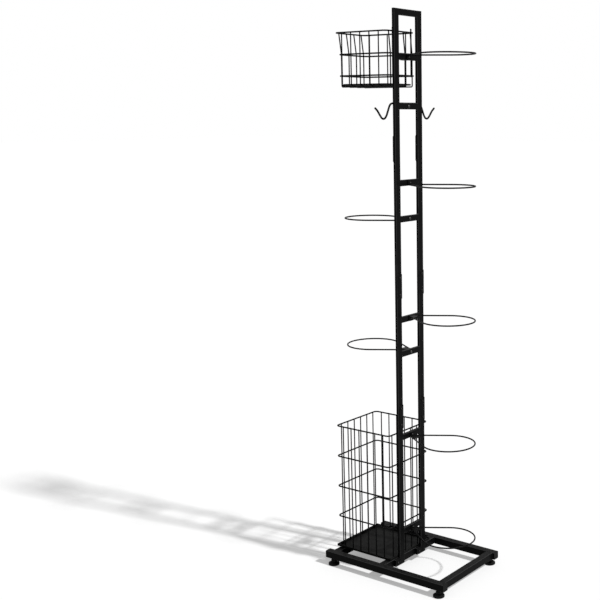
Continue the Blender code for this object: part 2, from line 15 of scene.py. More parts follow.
import bmesh
import bpy
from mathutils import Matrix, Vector


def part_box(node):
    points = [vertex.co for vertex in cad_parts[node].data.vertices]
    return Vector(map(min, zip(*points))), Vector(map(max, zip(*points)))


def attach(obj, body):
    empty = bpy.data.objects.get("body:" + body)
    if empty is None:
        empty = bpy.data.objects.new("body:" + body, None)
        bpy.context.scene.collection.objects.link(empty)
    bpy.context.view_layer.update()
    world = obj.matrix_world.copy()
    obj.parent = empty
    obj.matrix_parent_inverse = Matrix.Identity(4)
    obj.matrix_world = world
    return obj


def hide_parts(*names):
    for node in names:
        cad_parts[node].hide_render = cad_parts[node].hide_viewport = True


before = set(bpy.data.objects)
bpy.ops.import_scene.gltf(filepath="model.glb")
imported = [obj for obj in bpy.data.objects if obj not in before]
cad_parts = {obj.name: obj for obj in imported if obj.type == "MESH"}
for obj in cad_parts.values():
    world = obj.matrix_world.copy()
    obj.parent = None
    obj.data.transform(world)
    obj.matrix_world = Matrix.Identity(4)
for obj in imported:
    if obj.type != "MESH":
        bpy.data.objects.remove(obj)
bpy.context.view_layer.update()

RACK = "rack"
ORIGIN = Vector((0.0, 0.0, 0.0))

# Tests that tell faces, edges and heights apart.
ALONG = 0.999  # least cosine between an axis and a normal or an edge that follows it
CLOSE = 1e-6  # heights no further apart than this are the same

# Sizes that more than one sub-assembly uses.
BOLTED_FACE = 0.0063  # from the ladder's middle plane to the back of what is bolted to it
RUNG_H = 0.0245
SUNK = 0.001  # how far a piece starts inside the one that it is welded or moulded to

Colour = tuple[float, float, float]
Band = tuple[float, float]  # where a smooth rise starts and where it ends
Edge = tuple[tuple[float, float], ...]  # rings of a turned edge, in from its side and off its end

log = logging.getLogger("rack")


class Kind(Enum):
    """What a selection is made of."""

    VERT = "VERT"
    EDGE = "EDGE"
    FACE = "FACE"


class Axis(Enum):
    """A direction of the rack's frame."""

    X = 0
    Y = 1
    Z = 2

    @property
    def unit(self) -> Vector:
        """Unit vector along the axis."""
        return Vector([1.0 if i == self.value else 0.0 for i in range(3)])


class Slot(Enum):
    """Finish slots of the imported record."""

    POWDER = "powder_coat"
    TRAY = "tray_coat"
    PLASTIC = "black_plastic"
    ZINC = "bolt_steel"


# Shader sums
WHITE = (1.0, 1.0, 1.0, 1.0)
COLOUR_A, COLOUR_B, COLOUR_OUT = 6, 7, 2  # sockets of a Mix node that hold colours
LOOKS_UP = (0.55, 0.95)  # cosines with +Z between which a face looks up, to catch dust and the painted top sheen
ON_A_FACE = (0.78, 0.985)  # cosines with the nearest axis between which an edge ends in a face


@dataclass(frozen=True)
class Grain:
    """A cloudy pattern: its grains per metre, its detail, and how it is stretched and turned."""

    scale: float
    detail: float = 2.0
    roughness: float = 0.5
    stretch: tuple[float, float, float] = (1.0, 1.0, 1.0)
    turn: float = 0.0


class Value:
    """A number that varies over a surface; sums on it become Math nodes."""

    def __init__(self, graph: "Graph", socket: bpy.types.NodeSocket) -> None:
        """Wrap a node's output.

        Args:
            graph: The graph that the output belongs to.
            socket: The output.
        """
        self.graph = graph
        self.socket = socket

    def math(self, operation: str, *others: "Value | float") -> "Value":
        """Join this value and others in one Math node.

        Args:
            operation: Blender's name of the operation.
            others: Further operands.

        Returns:
            The node's value.
        """
        return self.graph.node("ShaderNodeMath", {"operation": operation},
                               dict(enumerate((self, *others))))

    def __add__(self, other: "Value | float") -> "Value":
        """Sum."""
        return self.math("ADD", other)

    __radd__ = __add__

    def __sub__(self, other: "Value | float") -> "Value":
        """Difference."""
        return self.math("SUBTRACT", other)

    def __rsub__(self, other: float) -> "Value":
        """Difference from a number."""
        return self.graph.node("ShaderNodeMath", {"operation": "SUBTRACT"}, {0: other, 1: self})

    def __mul__(self, other: "Value | float") -> "Value":
        """Product."""
        return self.math("MULTIPLY", other)

    __rmul__ = __mul__

    def between(self, band: Band) -> "Value":
        """Rise smoothly from 0 to 1.

        Args:
            band: Where the rise starts and where it ends.

        Returns:
            The risen value.
        """
        return self.graph.node(
            "ShaderNodeMapRange", {"interpolation_type": "SMOOTHSTEP"},
            {"Value": self, "From Min": band[0], "From Max": band[1], "To Min": 0.0,
             "To Max": 1.0})


class Graph:
    """Nodes of one material or of the world."""

    def __init__(self, tree: bpy.types.NodeTree) -> None:
        """Start on an empty tree.

        Args:
            tree: The tree, whose nodes are removed.
        """
        self.tree = tree
        self.places: dict[tuple, Value] = {}
        tree.nodes.clear()

    def node(self, kind: str, settings: dict[str, object] | None = None,
             sockets: dict[str | int, object] | None = None, output: str | int = 0) -> Value:
        """Add a node, set it and link it.

        Args:
            kind: Blender's name of the node's type.
            settings: The node's own properties, which are set first.
            sockets: Inputs by name or number, each a Value, a number or a tuple.
            output: The output to return.

        Returns:
            That output, ready for sums.
        """
        made = self.tree.nodes.new(kind)
        for name, value in (settings or {}).items():
            setattr(made, name, value)
        for name, value in (sockets or {}).items():
            if isinstance(value, Value):
                self.tree.links.new(value.socket, made.inputs[name])
            else:
                made.inputs[name].default_value = value
        return Value(self, made.outputs[output] if len(made.outputs) else None)

    def place(self, stretch: tuple[float, float, float] = (1.0, 1.0, 1.0),
              turn: float = 0.0) -> Value:
        """Object coordinates, turned and stretched, made once for each way.

        Args:
            stretch: Scale along each axis.
            turn: Turn about Z in radians.

        Returns:
            The coordinates.
        """
        if (stretch, turn) not in self.places:
            coordinates = self.node("ShaderNodeTexCoord", output="Object")
            self.places[stretch, turn] = self.node(
                "ShaderNodeMapping", {"vector_type": "POINT"},
                {"Vector": coordinates, "Scale": stretch, "Rotation": (0.0, 0.0, turn)})
        return self.places[stretch, turn]

    def noise(self, grain: Grain) -> Value:
        """Lay a cloudy pattern.

        Args:
            grain: The pattern.

        Returns:
            Its value, between 0 and 1.
        """
        return self.node("ShaderNodeTexNoise", None,
                         {"Vector": self.place(grain.stretch, grain.turn), "Scale": grain.scale,
                          "Detail": grain.detail, "Roughness": grain.roughness})

    def mix(self, share: Value, first: Value | Colour, second: Value | Colour) -> Value:
        """Mix two colours.

        Args:
            share: Share of the second one.
            first: The colour at 0.
            second: The colour at 1.

        Returns:
            The mixed colour.
        """
        ends = [end if isinstance(end, Value) else (*end, 1.0) for end in (first, second)]
        return self.node("ShaderNodeMix", {"data_type": "RGBA"},
                         {0: share, COLOUR_A: ends[0], COLOUR_B: ends[1]}, output=COLOUR_OUT)

    def facing_up(self) -> Value:
        """1 on faces that look up, 0 on walls and undersides."""
        normal = self.node("ShaderNodeNewGeometry", output="Normal")
        return self.node("ShaderNodeSeparateXYZ", None, {0: normal}, output="Z").between(LOOKS_UP)

    # marks where the tube coat paints its edge highlight
    def on_edges(self) -> Value:
        """Find the rounded edges between faces that look along an axis.

        Returns:
            1 on the edges, 0 on those faces.
        """
        normal = self.node("ShaderNodeNewGeometry", output="Normal")
        x, y, z = (self.node("ShaderNodeSeparateXYZ", None, {0: normal}, output=way)
                   .math("ABSOLUTE") for way in "XYZ")
        return 1.0 - x.math("MAXIMUM", y).math("MAXIMUM", z).between(ON_A_FACE)

    def bump(self, height: Value, strength: float, distance: float) -> Value:
        """Bend the normal by a height pattern.

        Args:
            height: The pattern.
            strength: Share of the bend that shows.
            distance: Height of the pattern's 1 in metres.

        Returns:
            The bent normal.
        """
        return self.node("ShaderNodeBump", None,
                         {"Strength": strength, "Distance": distance, "Height": height},
                         output="Normal")

    def surface(self, sockets: dict[str, object]) -> None:
        """Finish a material with one Principled shader."""
        shader = self.node("ShaderNodeBsdfPrincipled", None, sockets)
        self.node("ShaderNodeOutputMaterial", None, {"Surface": shader})


# Finishes
def brighter(colour: Colour, gain: float) -> Colour:
    """Colour times a gain."""
    return tuple(gain * part for part in colour)


@dataclass(frozen=True)
class Coat:
    """A finish, and the slot of the record that it belongs to."""

    name: str
    slot: Slot

    def paint(self, graph: Graph) -> dict[str, object]:
        """Lay the finish, as each kind of coat does in its own way.

        Args:
            graph: Nodes of the new material.

        Returns:
            What goes into each socket of its shader.
        """
        raise NotImplementedError

    def material(self) -> bpy.types.Material:
        """Build the material.

        Returns:
            A material on Object coordinates.
        """
        made = bpy.data.materials.new(self.name)
        made.use_nodes = True
        graph = Graph(made.node_tree)
        graph.surface(self.paint(graph))
        return made


@dataclass(frozen=True)
class PowderCoat(Coat):
    """Baked powder: orange peel, fine grit, cloudy sheen, dust with a painted sheen on the tops, a
    few rubs and a painted highlight on rounded edges.
    """

    name: str = "black_powder_coat"
    slot: Slot = Slot.POWDER
    colour: Colour = (0.0026, 0.0026, 0.0027)
    # dust specks, and a painted sheen that lightens the faces that look up
    dust_and_top_sheen: Colour = (0.034, 0.034, 0.033)
    rubbed: Colour = (0.0085, 0.0085, 0.0088)
    # painted highlight along the rounded edges of the tubes
    wear_and_edge_highlight: Colour = (0.074, 0.074, 0.075)
    specular: float = 0.045
    peel: Grain = Grain(430.0)
    grit: Grain = Grain(2300.0, 1.0)
    cloud: Grain = Grain(11.0, 4.0, 0.6)
    specks: Grain = Grain(160.0, 5.0, 0.65)
    rubs: Grain = Grain(46.0, 6.0, 0.62, (1.0, 1.0, 0.35))
    rub_band: Band = (0.63, 0.74)
    rub_share: float = 0.5
    cloud_band: Band = (0.3, 0.7)
    cloud_share: float = 0.35
    cloud_gain: float = 1.5
    dust_and_sheen_band: Band = (0.38, 0.72)
    dust_and_sheen_share: float = 0.55
    # strength and patchiness of the painted edge highlight
    edge_highlight: float = 0.0
    patchy_highlight: float = 0.45
    roughness: float = 0.36
    smoothest: float = 0.18
    cloud_swing: float = 0.14
    grit_swing: float = 0.07
    dust_dulls: float = 0.18
    rubs_polish: float = 0.07
    grit_depth: float = 0.25
    bump: float = 0.16
    bump_height: float = 0.0004

    def paint(self, graph: Graph) -> dict[str, object]:
        """Lay the coat.

        Args:
            graph: Nodes of the new material.

        Returns:
            What goes into each socket of its shader.
        """
        peel, grit = graph.noise(self.peel), graph.noise(self.grit)
        cloud, specks = graph.noise(self.cloud), graph.noise(self.specks)
        rubs = graph.noise(self.rubs).between(self.rub_band)
        # faces that look up: dust specks, and a painted sheen in place of the light they reflect
        dust_and_sheen = graph.facing_up() * specks.between(self.dust_and_sheen_band) * self.dust_and_sheen_share
        colour = graph.mix(rubs * self.rub_share, self.colour, self.rubbed)
        colour = graph.mix(cloud.between(self.cloud_band) * self.cloud_share, colour,
                           brighter(self.colour, self.cloud_gain))
        colour = graph.mix(dust_and_sheen, colour, self.dust_and_top_sheen)
        # a painted highlight along the rounded edges, broken into patches
        if self.edge_highlight > 0.0:
            highlight_patches = 1.0 - self.patchy_highlight + self.patchy_highlight * specks
            colour = graph.mix(graph.on_edges() * highlight_patches * self.edge_highlight, colour, self.wear_and_edge_highlight)
        roughness = (self.roughness + self.cloud_swing * (cloud - 0.5)
                     + self.grit_swing * (grit - 0.5)
                     + self.dust_dulls * dust_and_sheen - self.rubs_polish * rubs)
        height = (1.0 - self.grit_depth) * peel + self.grit_depth * grit
        return {
            "Base Color": colour,
            "Roughness": roughness.math("MAXIMUM", self.smoothest),
            "Specular IOR Level": self.specular,
            "Normal": graph.bump(height, self.bump, self.bump_height),
        }


@dataclass(frozen=True)
class TrayCoat(Coat):
    """Dark sheet coat with fine scuffs where long items stand."""

    name: str = "grey_tray_coat"
    slot: Slot = Slot.TRAY
    colour: Colour = (0.0056, 0.0057, 0.0055)
    dust_and_top_sheen: Colour = (0.024, 0.0238, 0.023)
    scuffed: Colour = (0.024, 0.024, 0.0235)
    specular: float = 0.06
    peel: Grain = Grain(520.0)
    cloud: Grain = Grain(16.0, 4.0, 0.6)
    specks: Grain = Grain(220.0, 5.0, 0.65)
    hairs: tuple[Grain, ...] = tuple(Grain(1.0, 3.0, 0.7, (14.0, 900.0, 1.0), turn)
                                     for turn in (0.35, 1.25, 2.3))
    hair_band: Band = (0.68, 0.76)
    scuff_band: Band = (0.42, 0.62)
    scuff_share: float = 0.7
    cloud_band: Band = (0.3, 0.7)
    cloud_share: float = 0.5
    cloud_gain: float = 1.4
    dust_and_sheen_band: Band = (0.42, 0.75)
    dust_and_sheen_share: float = 0.30
    roughness: float = 0.50
    cloud_swing: float = 0.12
    dust_dulls: float = 0.15
    scuffs_polish: float = 0.12
    scuff_depth: float = 0.6
    bump: float = 0.14
    bump_height: float = 0.0004

    def paint(self, graph: Graph) -> dict[str, object]:
        """Lay the coat.

        Args:
            graph: Nodes of the new material.

        Returns:
            What goes into each socket of its shader.
        """
        cloud = graph.noise(self.cloud)
        scuffs, *others = [graph.noise(hair).between(self.hair_band) for hair in self.hairs]
        for other in others:
            scuffs = scuffs.math("MAXIMUM", other)
        scuffs = scuffs * graph.facing_up() * cloud.between(self.scuff_band) * self.scuff_share
        specks = graph.noise(self.specks)
        dust_and_sheen = graph.facing_up() * specks.between(self.dust_and_sheen_band) * self.dust_and_sheen_share
        colour = graph.mix(cloud.between(self.cloud_band) * self.cloud_share, self.colour,
                           brighter(self.colour, self.cloud_gain))
        colour = graph.mix(dust_and_sheen, colour, self.dust_and_top_sheen)
        roughness = (self.roughness + self.cloud_swing * (cloud - 0.5)
                     + self.dust_dulls * dust_and_sheen - self.scuffs_polish * scuffs)
        height = graph.noise(self.peel) - self.scuff_depth * scuffs
        return {
            "Base Color": graph.mix(scuffs, colour, self.scuffed),
            "Roughness": roughness,
            "Specular IOR Level": self.specular,
            "Normal": graph.bump(height, self.bump, self.bump_height),
        }


@dataclass(frozen=True)
class MouldedPlastic(Coat):
    """Moulded black plastic with spark texture and slightly polished rubs."""

    name: str = "black_moulded_plastic"
    slot: Slot = Slot.PLASTIC
    colour: Colour = (0.0036, 0.0036, 0.0038)
    dust_and_top_sheen: Colour = (0.017, 0.017, 0.016)
    wear_and_edge_highlight: Colour = (0.010, 0.010, 0.010)
    specular: float = 0.12
    spark: Grain = Grain(1500.0, 3.0, 0.7)
    flow: Grain = Grain(34.0, 4.0, 0.55, (1.0, 1.0, 4.0))
    rubs: Grain = Grain(120.0, 6.0, 0.7)
    rub_band: Band = (0.60, 0.72)
    rub_share: float = 0.5
    dust_and_sheen_band: Band = (0.35, 0.7)
    dust_and_sheen_share: float = 0.4
    roughness: float = 0.52
    flow_swing: float = 0.12
    rubs_polish: float = 0.10
    dust_dulls: float = 0.15
    bump: float = 0.22
    bump_height: float = 0.0003

    def paint(self, graph: Graph) -> dict[str, object]:
        """Mould the plastic's surface.

        Args:
            graph: Nodes of the new material.

        Returns:
            What goes into each socket of its shader.
        """
        flow = graph.noise(self.flow)
        rubs = graph.noise(self.rubs).between(self.rub_band)
        dust_and_sheen = graph.facing_up() * flow.between(self.dust_and_sheen_band) * self.dust_and_sheen_share
        colour = graph.mix(rubs * self.rub_share, self.colour, self.wear_and_edge_highlight)
        roughness = (self.roughness + self.flow_swing * (flow - 0.5)
                     - self.rubs_polish * rubs + self.dust_dulls * dust_and_sheen)
        return {
            "Base Color": graph.mix(dust_and_sheen, colour, self.dust_and_top_sheen),
            "Roughness": roughness,
            "Specular IOR Level": self.specular,
            "Normal": graph.bump(graph.noise(self.spark), self.bump, self.bump_height),
        }


@dataclass(frozen=True)
class ZincPlate(Coat):
    """Zinc plate under a dull passivate: fine spangle, faint tints and grime."""

    name: str = "zinc_plated_steel"
    slot: Slot = Slot.ZINC
    cool: Colour = (0.115, 0.117, 0.121)
    warm: Colour = (0.118, 0.115, 0.106)
    grime: Colour = (0.030, 0.029, 0.027)
    spangle_scale: float = 1400.0
    tint: Grain = Grain(260.0, 3.0)
    tint_band: Band = (0.35, 0.65)
    dirt: Grain = Grain(700.0, 5.0, 0.7)
    dirt_band: Band = (0.62, 0.78)
    dirt_share: float = 0.7
    dirt_covers: float = 0.6
    roughness: float = 0.32
    spangle_swing: float = 0.12
    dirt_dulls: float = 0.3
    bump: float = 0.10
    bump_height: float = 0.0002

    def paint(self, graph: Graph) -> dict[str, object]:
        """Plate the steel.

        Args:
            graph: Nodes of the new material.

        Returns:
            What goes into each socket of its shader.
        """
        spangle = graph.node("ShaderNodeTexVoronoi", {"feature": "F1"},
                             {"Vector": graph.place(), "Scale": self.spangle_scale})
        tint = graph.noise(self.tint)
        dirt = graph.noise(self.dirt).between(self.dirt_band)
        colour = graph.mix(tint.between(self.tint_band), self.cool, self.warm)
        return {
            "Base Color": graph.mix(dirt * self.dirt_share, colour, self.grime),
            "Metallic": 1.0 - self.dirt_covers * dirt,
            "Roughness": self.roughness + self.spangle_swing * spangle + self.dirt_dulls * dirt,
            "Normal": graph.bump(spangle + tint, self.bump, self.bump_height),
        }


BLACK_ZINC = ZincPlate("black_zinc_steel", cool=(0.030, 0.030, 0.031),
                       warm=(0.031, 0.030, 0.027), grime=(0.016, 0.0155, 0.015), roughness=0.38)
# the tubes get the painted highlight along their rounded edges
TUBE_COAT = PowderCoat("black_powder_coat_tube", edge_highlight=0.9)


class PaintShop:
    """Makes each coat once and gives it to the pieces."""

    def __init__(self) -> None:
        """Start with no coat made."""
        self.made: dict[str, bpy.types.Material] = {}

    def material(self, finish: Coat) -> bpy.types.Material:
        """Material of a finish, made at its first use.

        Args:
            finish: The finish.

        Returns:
            Its material.
        """
        if finish.name not in self.made:
            self.made[finish.name] = finish.material()
        return self.made[finish.name]


SHOP = PaintShop()


# The bench
ROUND = 0.5  # bevel profile that is an arc of a circle
SOFT = 0.0006  # width of a plate's softened border
SHADED_ROUND = math.radians(40.0)  # sharpest turn that is shaded as a rounding


def clear_bench() -> None:
    """Leave edit mode and deselect everything."""
    if bpy.context.object is not None and bpy.context.object.mode != "OBJECT":
        bpy.ops.object.mode_set(mode="OBJECT")
    bpy.ops.object.select_all(action="DESELECT")


def extrude(move: Sequence[float]) -> None:
    """Draw the selection on by a move."""
    bpy.ops.mesh.extrude_region_move(TRANSFORM_OT_translate={"value": move})


def scale(shares: Sequence[float], place: Sequence[float]) -> None:
    """Scale the selection about a place."""
    bpy.ops.transform.resize(value=shares, center_override=place)


def bevel(width: float, segments: int) -> None:
    """Round the selected edges."""
    bpy.ops.mesh.bevel(offset=width, segments=segments, profile=ROUND, affect="EDGES")


def fill_outline() -> None:
    """Close the edited outline with one face."""
    bpy.ops.mesh.select_all(action="SELECT")
    bpy.ops.mesh.edge_face_add()


def face_outward() -> None:
    """Turn every face of the edited piece outward."""
    bpy.ops.mesh.select_all(action="SELECT")
    bpy.ops.mesh.normals_make_consistent(inside=False)


def edge_way(edge: bmesh.types.BMEdge) -> Vector:
    """Direction of an edge."""
    return (edge.verts[1].co - edge.verts[0].co).normalized()


def plain_solids(start: str) -> list[str]:
    """Names of the plain solids that start with these letters, in order."""
    return [node for node in sorted(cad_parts) if node.startswith(start)]


def middle_height(node: str) -> float:
    """Height of a plain solid's middle."""
    low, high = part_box(node)
    return (low.z + high.z) / 2


class Workpiece:
    """A mesh on the bench, shaped with the modelling operators."""

    def __init__(self, obj: bpy.types.Object) -> None:
        """Hold an object.

        Args:
            obj: A mesh object.
        """
        self.obj = obj

    @classmethod
    def placed(cls) -> "Workpiece":
        """Take the new primitive and move its place into its mesh."""
        bpy.ops.object.transform_apply(location=True, rotation=True, scale=True)
        return cls(bpy.context.object)

    @classmethod
    def block(cls, low: Sequence[float], high: Sequence[float]) -> "Workpiece":
        """Start from a box.

        Args:
            low: Its lowest corner.
            high: Its highest corner.

        Returns:
            The workpiece.
        """
        clear_bench()
        low, high = Vector(low), Vector(high)
        bpy.ops.mesh.primitive_cube_add(size=1.0, location=(low + high) / 2, scale=high - low)
        return cls.placed()

    @classmethod
    def plate(cls, low: Sequence[float], high: Sequence[float], corner: float, side: int,
              border: float = SOFT) -> "Workpiece":
        """Start from an upright plate across X, with round corners and one softened border.

        Args:
            low: Its lowest corner.
            high: Its highest corner.
            corner: Radius of its corners.
            side: Side of the softened border, 1 for +X.
            border: Width of the border.

        Returns:
            The workpiece.
        """
        return cls.block(low, high).round_along(Axis.X, corner).soften(Axis.X, side, border)

    @classmethod
    def hoop(cls, centre: Vector, normal: Vector, radius: float, sides: int) -> "Workpiece":
        """Start from an open circle.

        Args:
            centre: Its centre.
            normal: The direction it faces.
            radius: Its radius.
            sides: Number of its edges.

        Returns:
            The workpiece.
        """
        clear_bench()
        turn = Vector(normal).to_track_quat("Z", "Y").to_euler()
        bpy.ops.mesh.primitive_circle_add(vertices=sides, radius=radius, fill_type="NOTHING",
                                          location=centre, rotation=turn)
        return cls.placed()

    @classmethod
    def turned(cls, centre: Vector, axis: Vector, profile: Sequence[tuple[float, float]],
               sides: int) -> "Workpiece":
        """Draw a round solid out of a circle, ring by ring.

        Args:
            centre: Point that the profile's heights are counted from.
            axis: The solid's axis.
            profile: Radius and height of each ring.
            sides: Number of sides.

        Returns:
            The closed workpiece.
        """
        axis = Vector(axis).normalized()
        radius, height = profile[0]
        piece = cls.hoop(centre + axis * height, axis, radius, sides)
        with piece.edited():
            fill_outline()
            for new_radius, new_height in profile[1:]:
                extrude(axis * (new_height - height))
                grow = new_radius / radius
                scale((grow, grow, grow), centre + axis * new_height)
                radius, height = new_radius, new_height
            face_outward()
        return piece

    def take(self) -> None:
        """Make this the one selected, active object."""
        clear_bench()
        self.obj.select_set(True)
        bpy.context.view_layer.objects.active = self.obj

    @contextmanager
    def edited(self) -> Iterator[None]:
        """Stay in edit mode for the length of a with block, with nothing selected at first.

        Yields:
            Nothing, while the piece is edited.
        """
        self.take()
        bpy.ops.object.mode_set(mode="EDIT")
        bpy.ops.mesh.select_all(action="DESELECT")
        yield
        bpy.ops.object.mode_set(mode="OBJECT")

    def pick(self, kind: Kind, wanted: Callable[[object], bool]) -> None:
        """Select just the elements that pass a test.

        Args:
            kind: Whether vertices, edges or faces are tested.
            wanted: The test.
        """
        bpy.ops.mesh.select_mode(type=kind.value)
        bpy.ops.mesh.select_all(action="DESELECT")
        mesh = bmesh.from_edit_mesh(self.obj.data)
        elements = {Kind.VERT: mesh.verts, Kind.EDGE: mesh.edges, Kind.FACE: mesh.faces}[kind]
        for element in elements:
            if wanted(element):
                element.select_set(True)
        mesh.select_flush_mode()
        bmesh.update_edit_mesh(self.obj.data)

    def pick_end(self, axis: Axis, sign: int) -> None:
        """Select the outermost flat faces towards one side of an axis.

        Args:
            axis: The axis.
            sign: Whether it is the end towards its positive or its negative side.
        """
        reach = max(v.co[axis.value] * sign for v in bmesh.from_edit_mesh(self.obj.data).verts)
        self.pick(Kind.FACE, lambda f: f.normal[axis.value] * sign > ALONG
                  and f.calc_center_median()[axis.value] * sign > reach - CLOSE)

    def round_along(self, axis: Axis, radius: float, segments: int = 4) -> "Workpiece":
        """Round the edges that run along an axis.

        Args:
            axis: The axis.
            radius: Radius of the rounding.
            segments: Number of its faces.

        Returns:
            The workpiece.
        """
        with self.edited():
            self.pick(Kind.EDGE, lambda e: abs(edge_way(e)[axis.value]) > ALONG)
            bevel(radius, segments)
        return self

    def soften(self, axis: Axis, sign: int, width: float = SOFT,
               segments: int = 2) -> "Workpiece":
        """Bevel the border of the flat end that faces along an axis.

        Args:
            axis: The axis.
            sign: Whether it is the end towards its positive or its negative side.
            width: Width of the bevel.
            segments: Number of its faces.

        Returns:
            The workpiece.
        """
        with self.edited():
            self.pick_end(axis, sign)
            bpy.ops.mesh.region_to_loop()
            bevel(width, segments)
        return self

    def hollow(self, axis: Axis, wall: float) -> "Workpiece":
        """Bore right through along an axis.

        Args:
            axis: The axis.
            wall: Wall that stays.

        Returns:
            The workpiece.
        """
        with self.edited():
            self.pick(Kind.FACE, lambda f: abs(f.normal[axis.value]) > ALONG)
            bpy.ops.mesh.inset(thickness=wall, use_individual=True)
            bpy.ops.mesh.bridge_edge_loops()
        return self

    def sink(self, axis: Axis, sign: int, wall: float, depth: float) -> "Workpiece":
        """Sink a pocket with a wall into the end that faces along an axis.

        Args:
            axis: The axis.
            sign: Whether it is the end towards its positive or its negative side.
            wall: Wall that stays round the pocket.
            depth: Depth of the pocket, or height of a boss where it is negative.

        Returns:
            The workpiece.
        """
        with self.edited():
            self.pick_end(axis, sign)
            rim = [v.co for v in bmesh.from_edit_mesh(self.obj.data).verts if v.select]
            low, high = (Vector([way(v[i] for v in rim) for i in range(3)]) for way in (min, max))
            shares = [1.0 if i == axis.value else 1.0 - 2.0 * wall / (high[i] - low[i])
                      for i in range(3)]
            extrude(ORIGIN)
            scale(shares, (low + high) / 2)
            extrude(-sign * depth * axis.unit)
        return self

    def modify(self, kind: str, **settings: object) -> "Workpiece":
        """Add a modifier and apply it.

        Args:
            kind: Blender's name of the modifier's type.
            settings: Its properties.

        Returns:
            The workpiece.
        """
        self.take()
        bpy.ops.object.modifier_add(type=kind)
        modifier = self.obj.modifiers[-1]
        for name, value in settings.items():
            setattr(modifier, name, value)
        bpy.ops.object.modifier_apply(modifier=modifier.name)
        return self

    def repeat(self, count: int, step: Sequence[float]) -> "Workpiece":
        """Repeat the shape in a row with one step between copies."""
        return self.modify("ARRAY", count=count, use_relative_offset=False,
                           use_constant_offset=True, constant_offset_displace=step)

    def copy(self, step: Sequence[float], turn: float = 0.0) -> "Workpiece":
        """Copy the piece with its own mesh.

        Args:
            step: Move of the copy.
            turn: Turn about the Z axis through the origin, in radians, before the move.

        Returns:
            The copy.
        """
        self.take()
        bpy.ops.object.duplicate()
        bpy.ops.transform.rotate(value=turn, orient_axis="Z", center_override=(0.0, 0.0, 0.0))
        bpy.ops.transform.translate(value=step)
        return self.placed()

    def cut(self, tool: "Workpiece") -> "Workpiece":
        """Cut the shape of another piece out of this one and throw the other away.

        Args:
            tool: The other piece.

        Returns:
            The workpiece.
        """
        self.modify("BOOLEAN", operation="DIFFERENCE", solver="EXACT", object=tool.obj)
        tool.discard()
        return self

    def discard(self) -> None:
        """Throw the piece away."""
        bpy.data.objects.remove(self.obj, do_unlink=True)

    def join(self, others: Iterable["Workpiece"]) -> "Workpiece":
        """Weld other pieces to this one.

        Args:
            others: The other pieces.

        Returns:
            The workpiece.
        """
        clear_bench()
        for other in others:
            other.obj.select_set(True)
        self.obj.select_set(True)
        bpy.context.view_layer.objects.active = self.obj
        bpy.ops.object.join()
        return self

    def hand_over(self, name: str, finish: Coat, nodes: Sequence[str], body: str = RACK,
                  flat_sides: bool = True) -> None:
        """Shade, coat and fit the finished piece.

        Args:
            name: Name of the piece.
            finish: Its finish.
            nodes: Plain solids that it stands for.
            body: Moving body that it rides on.
            flat_sides: Whether large flat faces keep their flat shading.
        """
        self.take()
        self.obj.name = name
        self.obj.data.name = name
        bpy.ops.object.shade_smooth_by_angle(angle=SHADED_ROUND)
        if flat_sides:
            self.modify("WEIGHTED_NORMAL", keep_sharp=True)
        self.obj.data.materials.clear()
        self.obj.data.materials.append(SHOP.material(finish))
        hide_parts(*nodes)
        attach(self.obj, body)
        log.info("%s: %d faces, stands for %s", name, len(self.obj.data.polygons), nodes)


